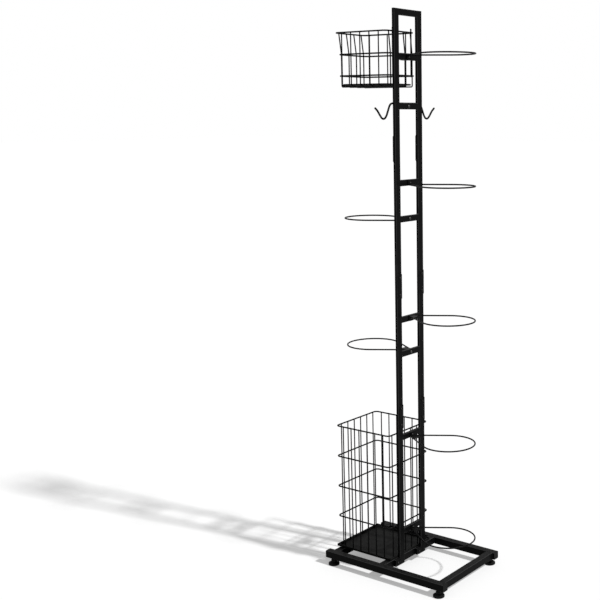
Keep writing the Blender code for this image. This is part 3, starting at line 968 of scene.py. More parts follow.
class Wire:
    """Round wire drawn out from one end, straight by straight and bend by bend."""

    TIP = 0.55  # radius of a cut end's face, as a share of the wire's
    CLOSED = 1e-5  # gap that is closed where an endless wire meets its start
    STRAIGHT = math.radians(0.5)  # a smaller turn is left out

    def __init__(self, start: Sequence[float], heading: Sequence[float], radius: float,
                 sides: int = 12, endless: bool = False) -> None:
        """Start the wire.

        Args:
            start: Middle of its first end.
            heading: Direction in which it leaves.
            radius: Its radius.
            sides: Sides of its section.
            endless: Whether its end will meet its start.
        """
        self.place = Vector(start)
        self.heading = Vector(heading).normalized()
        self.radius = radius
        self.endless = endless
        first = radius if endless else radius * self.TIP
        self.piece = Workpiece.hoop(self.place, self.heading, first, sides)
        self.piece.take()
        bpy.ops.object.mode_set(mode="EDIT")
        bpy.ops.mesh.select_all(action="SELECT")
        if not endless:
            bpy.ops.mesh.edge_face_add()
            self._step(radius * (1 - self.TIP) * self.heading)
            self._scale(1 / self.TIP)

    def _step(self, move: Vector) -> None:
        """Draw the end on by a move."""
        extrude(move)
        self.place = self.place + move

    def _scale(self, share: float) -> None:
        """Widen or narrow the end."""
        scale((share, share, share), self.place)

    def run_to(self, goal: Sequence[float]) -> "Wire":
        """Run straight on to a point."""
        self._step(Vector(goal) - self.place)
        return self

    def bend(self, toward: Sequence[float], radius: float, angle: float, steps: int) -> "Wire":
        """Bend round a centre at the side.

        Args:
            toward: Direction from the wire to the bend's centre.
            radius: Radius of the wire's middle line.
            angle: Angle of the bend in radians.
            steps: Number of its steps.

        Returns:
            The wire.
        """
        centre = self.place + Vector(toward).normalized() * radius
        axis = self.heading.cross(Vector(toward)).normalized()
        bpy.ops.mesh.spin(steps=steps, angle=-angle, center=centre, axis=axis,
                          use_auto_merge=False)
        along, across = self.heading.copy(), (self.place - centre)
        self.place = centre + across * math.cos(angle) + along * (radius * math.sin(angle))
        self.heading = along * math.cos(angle) - across.normalized() * math.sin(angle)
        return self

    def follow(self, corners: Sequence[Sequence[float]], radius: float,
               steps: int = 6) -> "Wire":
        """Run along a line of corners and round each one but the last.

        Args:
            corners: The corners, without the place where the wire is.
            radius: Bend radius at each corner.
            steps: Steps of a quarter turn.

        Returns:
            The wire.
        """
        for corner, after in zip(corners, corners[1:]):
            corner, after = Vector(corner), Vector(after)
            leave = (after - corner).normalized()
            turn = self.heading.angle(leave)
            if turn > self.STRAIGHT:
                self.run_to(corner - self.heading * radius * math.tan(turn / 2))
                toward = leave - self.heading * leave.dot(self.heading)
                self.bend(toward, radius, turn, max(2, round(steps * turn / (math.pi / 2))))
        return self.run_to(corners[-1])

    def end(self) -> Workpiece:
        """Cut the wire off, or close it on its start, and lay it on the bench.

        Returns:
            The workpiece.
        """
        if self.endless:
            bpy.ops.mesh.select_all(action="SELECT")
            bpy.ops.mesh.remove_doubles(threshold=self.CLOSED)
        else:
            self._step(self.radius * (1 - self.TIP) * self.heading)
            self._scale(self.TIP)
            bpy.ops.mesh.edge_face_add()
        face_outward()
        bpy.ops.object.mode_set(mode="OBJECT")
        return self.piece


# Welds and turned edges
@dataclass(frozen=True)
class Bead:
    """A rippled weld seam; all but its sides are shares of its radius."""

    sides: int = 8
    ripple: float = 1.5
    dip: float = 0.84
    end: float = 0.45
    fewest: int = 4

    def lay(self, start: Sequence[float], end: Sequence[float], radius: float) -> Workpiece:
        """Lay a seam.

        Args:
            start: Middle of one end.
            end: Middle of the other end.
            radius: Radius of the seam.

        Returns:
            The seam.
        """
        start, end = Vector(start), Vector(end)
        length = (end - start).length
        ripples = max(self.fewest, round(length / (self.ripple * radius)))
        profile = [(radius * self.end, 0.0)]
        for i in range(ripples):
            swell = 1.0 if i % 2 == 0 else self.dip
            profile.append((radius * swell, length * (i + 0.5) / ripples))
        profile.append((radius * self.end, length))
        return Workpiece.turned(start, end - start, profile, self.sides)


@dataclass(frozen=True)
class Spot:
    """The squeezed fillet where two crossing wires are spot welded."""

    sides: int = 8
    rings: int = 5

    def weld(self, place: Sequence[float], size: Sequence[float]) -> Workpiece:
        """Weld a spot.

        Args:
            place: Its middle.
            size: Its half widths along X, Y and Z.

        Returns:
            The spot.
        """
        clear_bench()
        bpy.ops.mesh.primitive_uv_sphere_add(segments=self.sides, ring_count=self.rings,
                                             radius=1.0, location=place, scale=size)
        return Workpiece.placed()


BEAD = Bead()
SPOT = Spot()


def turned_edge(radius: float, end: float, edge: Edge, way: int = -1) -> list[tuple[float, float]]:
    """Place the rings of a turned edge.

    Args:
        radius: Radius of the side that the edge belongs to.
        end: Height of the end that it belongs to.
        edge: The edge.
        way: 1 where the side rises from the end, -1 where it comes up to it.

    Returns:
        Radius and height of each ring.
    """
    return [(radius - inward, end + way * off) for inward, off in edge]


# Base
@dataclass
class BaseFrame:
    """Two long tubes, the cross tubes welded between them and the plugs in the open ends."""

    wall: float = 0.0015
    corner: float = 0.0024
    seam: float = 0.0017
    seam_depth: float = 0.45  # how far a seam's middle is inside its tube's face, in seam radii
    seam_inset: float = 0.0030
    cap_flange: float = 0.0015
    cap_rim: float = 0.0030
    cap_dish: float = 0.0005
    plug_inset: float = 0.0018
    plug_wall: float = 0.0016

    def long_tubes(self) -> None:
        """Model the tubes along the near and far sides."""
        for side in ("near", "far"):
            node = f"base_tube_{side}"
            tube = Workpiece.block(*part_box(node)).round_along(Axis.X, self.corner)
            tube.hollow(Axis.X, self.wall)
            tube.hand_over(f"{side}_long_tube", TUBE_COAT, [node])

    def cross_tubes(self) -> None:
        """Model the cross tubes with the seams that join them to the long tubes."""
        inset, depth = self.seam_inset, self.seam * self.seam_depth
        for name in ("left", "middle", "right"):
            node = f"cross_tube_{name}"
            low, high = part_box(node)
            tube = Workpiece.block(low, high).round_along(Axis.Y, self.corner)
            tube.hollow(Axis.Y, self.wall)
            seams = []
            for y in (low.y, high.y):
                for z in (high.z - depth, low.z + depth):
                    seams.append(BEAD.lay((low.x + inset, y, z), (high.x - inset, y, z),
                                          self.seam))
                for x in (low.x + depth, high.x - depth):
                    seams.append(BEAD.lay((x, y, low.z + inset), (x, y, high.z - inset),
                                          self.seam))
            tube.join(seams)
            tube.hand_over(f"{name}_cross_tube", TUBE_COAT, [node])

    def end_caps(self) -> None:
        """Model the hollow plugs with a dished square head."""
        for side in ("near", "far"):
            tube_low, tube_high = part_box(f"base_tube_{side}")
            for end, sign in (("left", -1), ("right", 1)):
                node = f"end_cap_{side}_{end}"
                low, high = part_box(node)
                outer = high.x if sign > 0 else low.x
                inner = outer - sign * self.cap_flange
                x0, x1 = sorted((outer, inner))
                cap = Workpiece.plate((x0, tube_low.y, tube_low.z),
                                      (x1, tube_high.y, tube_high.z), self.corner, sign)
                cap.sink(Axis.X, sign, self.cap_rim, self.cap_dish)
                length = high.x - low.x - self.cap_flange
                cap.sink(Axis.X, -sign, self.plug_inset, -length)
                cap.sink(Axis.X, -sign, self.plug_wall, length - SUNK)
                cap.hand_over(f"{side}_{end}_tube_plug", MouldedPlastic(), [node])

    def build(self) -> None:
        """Model every piece of the base."""
        self.long_tubes()
        self.cross_tubes()
        self.end_caps()


@dataclass
class LevellingFeet:
    """Plastic feet with a notched disc, a six-sided hub and a threaded stem."""

    sides: int = 48
    disc: float = 0.0230
    disc_top: float = 0.0085
    floor_edge: Edge = ((0.0030, 0.0), (0.0015, 0.0002), (0.00045, 0.0006), (0.0, 0.0015))
    disc_edge: Edge = ((0.0, 0.0012), (0.00045, 0.0003), (0.0015, 0.0))
    cone_top: float = 0.0130
    cone_edge: Edge = ((-0.0035, 0.0006), (-0.0008, 0.0), (0.0036, 0.0))
    hub_sides: int = 6
    hub: float = 0.0120
    hub_top: float = 0.0225
    hub_edge: Edge = ((0.0, 0.0009), (0.0003, 0.0003), (0.0010, 0.0))
    stem_sides: int = 24
    stem: float = 0.0050
    stem_top: float = 0.0460
    stem_edge: Edge = ((0.0, 0.0012), (0.0010, 0.0))
    thread_depth: float = 0.0006
    pitch: float = 0.0015
    crest: float = 0.2
    root: float = 0.6
    notch_every: int = 4
    notch_share: float = 0.955
    steepest: float = 0.1  # most that a side face's normal may rise
    rim_share: float = 0.98  # least distance of a side face from the axis, in disc radii

    def disc_rings(self) -> list[tuple[float, float]]:
        """Turn the disc and the cone on it, from the floor up.

        Returns:
            Radius and height of each ring.
        """
        return [*turned_edge(self.disc, 0.0, self.floor_edge, 1),
                *turned_edge(self.disc, self.disc_top, self.disc_edge),
                *turned_edge(self.hub, self.cone_top, self.cone_edge)]

    def hub_rings(self) -> list[tuple[float, float]]:
        """Radius and height of each ring of the six-sided hub."""
        return [(self.hub, self.cone_top - SUNK),
                *turned_edge(self.hub, self.hub_top, self.hub_edge)]

    def stem_rings(self) -> list[tuple[float, float]]:
        """Turn the threaded stem.

        Returns:
            Radius and height of each ring.
        """
        rings = [(self.stem, self.hub_top - SUNK)]
        height = self.hub_top
        while height + self.pitch < self.stem_top - SUNK:
            rings += [(self.stem, height + self.crest * self.pitch),
                      (self.stem - self.thread_depth, height + self.root * self.pitch)]
            height += self.pitch
        return rings + turned_edge(self.stem, self.stem_top, self.stem_edge)

    def on_notch(self, face: bmesh.types.BMFace) -> bool:
        """Tell the disc's side faces that get a notch.

        Args:
            face: A face of the disc.

        Returns:
            Whether it is one of them.
        """
        middle = face.calc_center_median()
        if abs(face.normal.z) > self.steepest or middle.xy.length < self.disc * self.rim_share:
            return False
        step = 2 * math.pi / self.sides
        return int(math.atan2(middle.y, middle.x) % (2 * math.pi) / step) % self.notch_every == 0

    def build(self) -> None:
        """Model one foot and copy it to the four places."""
        first = Workpiece.turned(ORIGIN, Axis.Z.unit, self.disc_rings(), self.sides)
        with first.edited():
            first.pick(Kind.FACE, self.on_notch)
            extrude(ORIGIN)
            scale((self.notch_share, self.notch_share, 1.0), ORIGIN)
        first.join([Workpiece.turned(ORIGIN, Axis.Z.unit, self.hub_rings(), self.hub_sides),
                    Workpiece.turned(ORIGIN, Axis.Z.unit, self.stem_rings(), self.stem_sides)])
        for node in plain_solids("foot_"):
            low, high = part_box(node)
            foot = first.copy(((low.x + high.x) / 2, (low.y + high.y) / 2, low.z))
            foot.hand_over(f"{node.removeprefix('foot_')}_levelling_foot", MouldedPlastic(),
                           [node], body=node)
        first.discard()


# Ladder
@dataclass
class Ladder:
    """Four welded sections of flat tube with rungs, splice plates and the lugs at the feet."""

    parts: int = 4
    spacing: float = 0.1446
    post_w: float = 0.030
    post_d: float = 0.012
    wall: float = 0.0015
    corner: float = 0.0022
    top_edge: float = 0.0012
    top_edge_faces: int = 3
    pocket: float = 0.05
    lap: float = 0.0016
    seam: float = 0.0015
    seam_inset: float = 0.0018
    seam_depth: float = 0.0002
    side_seam: float = 0.0012
    side_seam_inset: float = 0.0020
    side_seam_depth: float = 0.0009
    side_seam_shift: float = 0.0006
    lug_w: float = 0.028
    lug_top: float = 0.0585
    lug_corner: float = 0.0025
    plate_corner: float = 0.0040
    plate_border: float = 0.0005

    @property
    def half(self) -> float:
        """Half the depth of the posts and rungs."""
        return self.post_d / 2

    @property
    def inner(self) -> float:
        """Distance of the posts' inner faces from the middle."""
        return self.spacing / 2 - self.post_w / 2

    def rung_levels(self) -> list[float]:
        """Height of each rung's middle, from the bolts through the rungs."""
        bolts = [node for node in plain_solids("ring_") if node.endswith("_bolt")]
        return sorted(middle_height(node) for node in [*bolts, "hook_bolt"])

    def post(self, y0: float, z0: float, z1: float, closed: bool) -> Workpiece:
        """Model one post of a section.

        Args:
            y0: Its near face.
            z0: Its lower end.
            z1: Its upper end.
            closed: Whether its upper end is closed.

        Returns:
            The post.
        """
        post = Workpiece.block((-self.half, y0, z0), (self.half, y0 + self.post_w, z1))
        post.round_along(Axis.Z, self.corner)
        if closed:
            post.soften(Axis.Z, 1, self.top_edge, self.top_edge_faces)
            return post.sink(Axis.Z, -1, self.wall, self.pocket)
        return post.hollow(Axis.Z, self.wall)

    def rung(self, z: float, open_top: bool = True) -> list[Workpiece]:
        """Model a rung and the seams that join it to the posts.

        Args:
            z: Height of its middle.
            open_top: Whether the posts go on above it, so that it has seams there too.

        Returns:
            The rung and its seams.
        """
        half, reach = self.half, self.inner + self.lap
        low, high = z - RUNG_H / 2, z + RUNG_H / 2
        rung = Workpiece.block((-half, -reach, low), (half, reach, high))
        pieces = [rung.round_along(Axis.Y, self.corner)]
        inset, side_inset = self.seam_inset, self.side_seam_inset
        for side in (-1, 1):
            y = side * self.inner
            for level in (low + self.seam_depth, high - self.seam_depth)[:1 + open_top]:
                pieces.append(BEAD.lay((-half + inset, y, level), (half - inset, y, level),
                                       self.seam))
            y += side * self.side_seam_shift
            for x in (-half + self.side_seam_depth, half - self.side_seam_depth):
                pieces.append(BEAD.lay((x, y, low + side_inset), (x, y, high - side_inset),
                                       self.side_seam))
        return pieces

    def lugs(self) -> list[Workpiece]:
        """Model the lugs beside the posts' feet.

        Returns:
            The lugs and their seams.
        """
        half, top = self.half, self.lug_top
        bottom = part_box("ladder_section_1")[0].z
        pieces = []
        for y0 in (-self.inner - self.post_w, self.inner):
            pieces.append(Workpiece.plate((-half, y0 - self.lug_w, bottom),
                                          (half, y0 + self.lap, top), self.lug_corner, 1))
            for x in (-half + self.side_seam_shift, half - self.side_seam_shift):
                pieces.append(BEAD.lay((x, y0, bottom + self.side_seam_inset),
                                       (x, y0, top - SUNK), self.seam))
            pieces.append(BEAD.lay((-half + SUNK, y0, top), (half - SUNK, y0, top), self.seam))
        return pieces

    def sections(self) -> None:
        """Model the four welded sections."""
        levels = self.rung_levels()
        for number in range(1, self.parts + 1):
            node = f"ladder_section_{number}"
            low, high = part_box(node)
            top = number == self.parts
            near = self.post(-self.inner - self.post_w, low.z, high.z, top)
            rest = [self.post(self.inner, low.z, high.z, top)]
            for z in levels:
                if low.z < z < high.z:
                    rest += self.rung(z)
            if top:
                rest += self.rung(high.z - RUNG_H / 2, open_top=False)
            if number == 1:
                rest += self.lugs()
            near.join(rest).hand_over(f"ladder_part_{number}", TUBE_COAT, [node])

    def splice_plates(self) -> None:
        """Model the plates over the joints."""
        for node in plain_solids("splice_plate_"):
            low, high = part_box(node)
            side = 1 if low.x > 0 else -1
            plate = Workpiece.plate(low, high, self.plate_corner, side, self.plate_border)
            plate.hand_over(f"{node.removeprefix('splice_plate_')}_joint_plate", TUBE_COAT,
                            [node])

    def build(self) -> None:
        """Model every piece of the ladder."""
        self.sections()
        self.splice_plates()


@dataclass
class Bolts:
    """Button-head bolts with a six-sided socket, black where they hold the ladder together."""

    sides: int = 24
    shank: float = 0.0030
    head: float = 0.0055
    head_height: float = 0.0030
    dome: tuple[tuple[float, float], ...] = (  # shares of the head's radius and height
        (0.42, 1.00), (0.62, 0.93), (0.80, 0.78), (0.93, 0.55), (1.00, 0.26), (0.97, 0.0))
    socket_sides: int = 6
    socket: float = 0.0019
    socket_depth: float = 0.0017
    pitch: float = 0.0010
    thread_depth: float = 0.00035
    root: float = 0.5
    length: float = 0.0160
    plain: float = 0.35  # share of the length that has no thread
    kept: float = 0.3  # share of the length that stays when a bolt is made longer or shorter
    run_out: float = 0.0006
    point: float = 0.0008

    def first(self) -> Workpiece:
        """Model one bolt along +X, with the seat of its head at the origin.

        Returns:
            The bolt.
        """
        rings = [(self.head * r, -self.head_height * h) for r, h in self.dome]
        along = self.length * self.plain
        rings += [(self.shank, 0.0), (self.shank, along)]
        while along + self.pitch < self.length - self.run_out:
            rings += [(self.shank - self.thread_depth, along + self.root * self.pitch),
                      (self.shank, along + self.pitch)]
            along += self.pitch
        rings.append((self.shank - self.point, self.length))
        bolt = Workpiece.turned(ORIGIN, Axis.X.unit, rings, self.sides)
        tool = Workpiece.turned(ORIGIN, Axis.X.unit,
                                [(self.socket, -self.head_height - SUNK),
                                 (self.socket, self.socket_depth - self.head_height)],
                                self.socket_sides)
        return bolt.cut(tool)

    @staticmethod
    def head_side(node: str) -> int:
        """Side of the ladder that a bolt's head is on, 1 for +X.

        Args:
            node: Name of the bolt's solid.

        Returns:
            1 or -1.
        """
        return -1 if node.startswith(("ring_right", "splice_bolt_3")) else 1

    def build(self) -> None:
        """Copy the bolt to every place and give each its length."""
        pattern = self.first()
        for node in plain_solids(""):
            if "bolt" not in node:
                continue
            low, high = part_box(node)
            side = self.head_side(node)
            bolt = pattern.copy(ORIGIN)
            extra = high.x - low.x - self.head_height - self.length
            with bolt.edited():
                bolt.pick(Kind.VERT, lambda v: v.co.x > self.length * self.kept)
                bpy.ops.transform.translate(value=(extra, 0, 0))
            seat = high.x - self.head_height if side > 0 else low.x + self.head_height
            place = Vector((seat, (low.y + high.y) / 2, (low.z + high.z) / 2))
            placed = bolt.copy(place, math.pi if side > 0 else 0.0)
            bolt.discard()
            finish = BLACK_ZINC if node.startswith(("splice", "ladder")) else ZincPlate()
            placed.hand_over(f"{node}_zinc", finish, [node], flat_sides=False)
        pattern.discard()


# Holders
@dataclass
class Rings:
    """Wire rings with a gusset between the arms and a flange bolted to a rung."""

    radius: float = 0.106
    wire: float = 0.003
    centre: float = 0.188
    arm_y: float = 0.010
    offset: float = 0.008
    wire_up: tuple[str, ...] = ("ring_right_1", "ring_right_3", "ring_left_2")
    root: float = 0.0078
    flange_t: float = 0.003
    flange_w: float = 0.028
    flange_h: float = 0.023
    flange_corner: float = 0.003
    gusset_t: float = 0.003
    gusset_end: float = 0.042
    root_seam: float = 0.0013
    arm_seam: float = 0.0021
    arm_seam_depth: float = 0.0012
    arm_seam_inset: float = 0.0020
    arc_steps: int = 64

    @property
    def outer(self) -> float:
        """Distance of the flange's outer face from the ladder's middle plane."""
        return BOLTED_FACE + self.flange_t

    def loop(self, side: int, z: float) -> tuple[Workpiece, float]:
        """Bend the ring from one arm round to the other.

        Args:
            side: 1 for the +X side, -1 for the -X side.
            z: Height of the wire.

        Returns:
            The wire, and its half width at the gusset's end.
        """
        centre = Vector((self.centre, 0.0, 0.0))
        root = Vector((self.root, -self.arm_y, 0.0))
        back = root - centre
        start = math.atan2(back.y, back.x) + math.acos(self.radius / back.length)
        touch = centre + self.radius * Vector((math.cos(start), math.sin(start), 0.0))
        sweep = 2 * (math.pi - (start % (2 * math.pi) - math.pi))
        first, near, middle, last = (Vector((side * point.x, point.y, z)) for point in
                                     (root, touch, centre, Vector((root.x, -root.y, 0.0))))
        wire = Wire(first, near - first, self.wire).run_to(near)
        wire.bend(middle - near, self.radius, sweep, self.arc_steps).run_to(last)
        slope = (touch.y - root.y) / (touch.x - root.x)
        return wire.end(), self.arm_y - slope * (self.gusset_end - root.x)

    def gusset(self, side: int, z: float, tip: float) -> Workpiece:
        """Model the gusset between the arms, which narrows with them.

        Args:
            side: 1 for the +X side, -1 for the -X side.
            z: Height of the wire.
            tip: Half width at its end.

        Returns:
            The gusset.
        """
        x0, x1 = sorted((side * (self.outer - SUNK), side * self.gusset_end))
        gusset = Workpiece.block((x0, -self.arm_y, z - self.gusset_t / 2),
                                 (x1, self.arm_y, z + self.gusset_t / 2))
        with gusset.edited():
            gusset.pick(Kind.FACE, lambda f: f.normal.x * side > ALONG)
            scale((1.0, tip / self.arm_y, 1.0), (0.0, 0.0, z))
        return gusset.soften(Axis.X, side)

    def flange(self, side: int, z: float) -> Workpiece:
        """Model the flange that is bolted to the rung.

        Args:
            side: 1 for the +X side, -1 for the -X side.
            z: Height of the bolt.

        Returns:
            The flange.
        """
        x0, x1 = sorted((side * BOLTED_FACE, side * self.outer))
        return Workpiece.plate((x0, -self.flange_w / 2, z - self.flange_h / 2),
                               (x1, self.flange_w / 2, z + self.flange_h / 2),
                               self.flange_corner, side)

    def seams(self, side: int, z: float, tip: float) -> list[Workpiece]:
        """Weld the gusset to the flange and to the arms.

        Args:
            side: 1 for the +X side, -1 for the -X side.
            z: Height of the wire.
            tip: Half width of the gusset at its end.

        Returns:
            The seams.
        """
        half, x, depth = self.gusset_t / 2, side * self.outer, self.arm_seam_depth
        seams = [BEAD.lay((x, -self.arm_y, z + step), (x, self.arm_y, z + step), self.root_seam)
                 for step in (-half, half)]
        x0, x1 = side * (self.outer + SUNK), side * (self.gusset_end - self.arm_seam_inset)
        return seams + [BEAD.lay((x0, way * (self.arm_y - depth), z), (x1, way * (tip - depth), z),
                                 self.arm_seam) for way in (-1, 1)]

    def build(self) -> None:
        """Model the seven rings."""
        for node in plain_solids("ring_"):
            if node.endswith("_bolt"):
                continue
            side = -1 if "left" in node else 1
            z = middle_height(f"{node}_bolt")
            wire_z = z + (self.offset if node in self.wire_up else -self.offset)
            ring, tip = self.loop(side, wire_z)
            ring.join([self.gusset(side, wire_z, tip), self.flange(side, z),
                       *self.seams(side, wire_z, tip)])
            ring.hand_over(f"{node}_wire", PowderCoat(), [node])


@dataclass
class DoubleHook:
    """One wire bent down and up again at both ends, welded to a bolted plate."""

    wire: float = 0.0038
    rise: float = 0.0104
    plate_t: float = 0.003
    plate_w: float = 0.024
    plate_corner: float = 0.003
    seam: float = 0.0016
    seam_inset: float = 0.0020
    seam_drop: float = 0.0022
    seam_out: float = 0.0004
    bend_radius: float = 0.017
    bend_steps: int = 16
    curve: tuple[tuple[float, float], ...] = (  # Y and height of one half's corners
        (0.0850, 0.0000), (0.0940, -0.0028), (0.1005, -0.0090), (0.1060, -0.0190),
        (0.1190, -0.0450), (0.1280, -0.0555), (0.1385, -0.0595), (0.1490, -0.0555),
        (0.1600, -0.0445), (0.1740, -0.0285), (0.1895, -0.0170),
    )

    def build(self) -> None:
        """Model the hook."""
        z = middle_height("hook_bolt")
        x = -BOLTED_FACE - self.wire
        half = [Vector((x, y, z + self.rise + dz)) for y, dz in self.curve]
        corners = [Vector((p.x, -p.y, p.z)) for p in reversed(half)] + half
        wire = Wire(corners[0], corners[1] - corners[0], self.wire)
        hook = wire.follow(corners[1:], self.bend_radius, self.bend_steps).end()
        plate = Workpiece.plate((-BOLTED_FACE - self.plate_t, -self.plate_w / 2, z - RUNG_H / 2),
                                (-BOLTED_FACE, self.plate_w / 2, z + self.rise - SUNK),
                                self.plate_corner, -1)
        x, y = x - self.seam_out, self.plate_w / 2 - self.seam_inset
        level = z + self.rise - self.seam_drop
        seam = BEAD.lay((x, -y, level), (x, y, level), self.seam)
        hook.join([plate, seam]).hand_over("bent_double_hook", PowderCoat(), ["double_hook"])


# Baskets
def round_hoop(x_range: tuple[float, float], y_range: tuple[float, float], z: float,
               corner: float, wire: float) -> Workpiece:
    """Bend a level hoop with round corners.

    Args:
        x_range: Lowest and highest X of its middle line.
        y_range: Lowest and highest Y of its middle line.
        z: Its height.
        corner: Bend radius of its corners.
        wire: Radius of its wire.

    Returns:
        The closed hoop.
    """
    (x0, x1), (y0, y1) = x_range, y_range
    start = Vector(((x0 + x1) / 2, y0, z))
    corners = [(x1, y0, z), (x1, y1, z), (x0, y1, z), (x0, y0, z), start]
    return Wire(start, (1, 0, 0), wire, endless=True).follow(corners, corner).end()


@dataclass
class WireBasket:
    """What both baskets share: their wires and how these are welded together."""

    rim_wire: float = 0.0030
    wire: float = 0.0025
    sides: int = 10  # of the thinner wire's section
    lap: float = 0.80  # how far two middle lines are apart where they cross, in radii of both
    spot: float = 0.0030  # half width of a weld along the wires

    @property
    def reach(self) -> float:
        """Distance between the middle lines of a hoop and a wire welded to it."""
        return self.lap * (self.rim_wire + self.wire)


@dataclass
class TopBasket(WireBasket):
    """Basket of bent wires on hoops, with two ears and the block bolted to a rung."""

    rim_x: tuple[float, float] = (-0.2840, -0.0290)
    body_x: tuple[float, float] = (-0.2725, -0.0208)
    y_range: tuple[float, float] = (-0.0940, 0.0860)
    rim_z: float = 2.1640
    hoop_z: tuple[float, ...] = (2.0810, 1.9990)
    floor_z: float = 1.9610
    rim_corner: float = 0.020
    corner: float = 0.030
    across_x: tuple[float, ...] = (-0.2507, -0.2052, -0.1597, -0.1142, -0.0687)
    along_y: tuple[float, ...] = (-0.0722, -0.0267, 0.0188, 0.0643)
    bend: float = 0.005
    spot_out: float = 0.0022  # half width of a weld from the hoop to the wire
    ear_y: tuple[float, float] = (-0.0580, 0.0580)
    ear_z: tuple[float, float] = (1.9940, 2.1770)
    block_w: float = 0.030
    block_corner: float = 0.003
    seam: float = 0.0016
    seam_inset: float = 0.0020
    seam_depth: float = 0.0012
    seam_rise: float = 0.0016

    def hoops(self) -> list[Workpiece]:
        """Bend the hoops.

        Returns:
            The rim, the hoops below it and the one that lies inside on the floor.
        """
        lie = 2 * self.reach
        made = [round_hoop(self.rim_x, self.y_range, self.rim_z, self.rim_corner, self.rim_wire)]
        made += [round_hoop(self.body_x, self.y_range, z, self.corner, self.rim_wire)
                 for z in self.hoop_z]
        (x0, x1), (y0, y1) = self.body_x, self.y_range
        return made + [round_hoop((x0 + lie, x1 - lie), (y0 + lie, y1 - lie),
                                  self.floor_z + self.reach, self.corner, self.rim_wire)]

    def across(self) -> list[Workpiece]:
        """Bend one wire down, across the floor and up again, and repeat it along the basket.

        Returns:
            The wires and their welds.
        """
        reach = self.reach
        low, high = self.y_range[0] + reach, self.y_range[1] - reach
        x = self.across_x[0]
        pitch = self.across_x[1] - x
        corners = [(x, low, self.floor_z), (x, high, self.floor_z), (x, high, self.rim_z)]
        wire = Wire((x, low, self.rim_z), (0, 0, -1), self.wire, self.sides)
        made = [wire.follow(corners, self.bend).end().repeat(len(self.across_x), (pitch, 0, 0))]
        for y in (low - reach / 2, high + reach / 2):
            for z in (self.rim_z, *self.hoop_z):
                spot = SPOT.weld((x, y, z), (self.spot, self.spot_out, self.spot))
                made.append(spot.repeat(len(self.across_x), (pitch, 0, 0)))
        return made

    def along(self) -> list[Workpiece]:
        """Bend the long wires, whose ends lean out to the rim.

        Returns:
            The wires and their welds.
        """
        reach = self.reach
        x0, x1 = self.body_x[0] + reach, self.body_x[1] - reach
        rim0, rim1 = self.rim_x[0] + reach, self.rim_x[1] - reach
        floor = self.floor_z - 2 * self.lap * self.wire
        knee = self.hoop_z[0] + self.rim_wire
        ends = [(rim0, rim1, self.rim_z), *((x0, x1, z) for z in self.hoop_z)]
        made = []
        for y in self.along_y:
            start = Vector((rim0, y, self.rim_z))
            corners = [(x0, y, knee), (x0, y, floor), (x1, y, floor), (x1, y, knee),
                       (rim1, y, self.rim_z)]
            wire = Wire(start, Vector(corners[0]) - start, self.wire, self.sides)
            made.append(wire.follow(corners, self.bend).end())
            made += [SPOT.weld((x, y, z), (self.spot_out, self.spot, self.spot))
                     for left, right, z in ends for x in (left - reach / 2, right + reach / 2)]
        return made

    def ears(self) -> list[Workpiece]:
        """Model the two upright ears.

        Returns:
            The ears.
        """
        x = self.body_x[1] - self.reach
        start, end = self.ear_z
        return [Wire((x, y, start), (0, 0, 1), self.rim_wire).run_to((x, y, end)).end()
                for y in self.ear_y]

    def block(self) -> list[Workpiece]:
        """Model the block between the basket and the rung.

        Returns:
            The block and its seam.
        """
        z = middle_height("ring_right_1_bolt")
        x0, y, top = self.body_x[1] - self.rim_wire, self.block_w / 2, self.hoop_z[0]
        tab = Workpiece.plate((x0, -y, z - RUNG_H / 2), (-BOLTED_FACE, y, top + SUNK),
                              self.block_corner, -1)
        x, y, level = x0 + self.seam_depth, y - self.seam_inset, top + self.seam_rise
        return [tab, BEAD.lay((x, -y, level), (x, y, level), self.seam)]

    def build(self) -> None:
        """Model the basket as one welded piece."""
        first, *rest = [*self.hoops(), *self.across(), *self.along(), *self.ears(), *self.block()]
        first.join(rest).hand_over("upper_wire_basket", PowderCoat(), ["top_basket"])


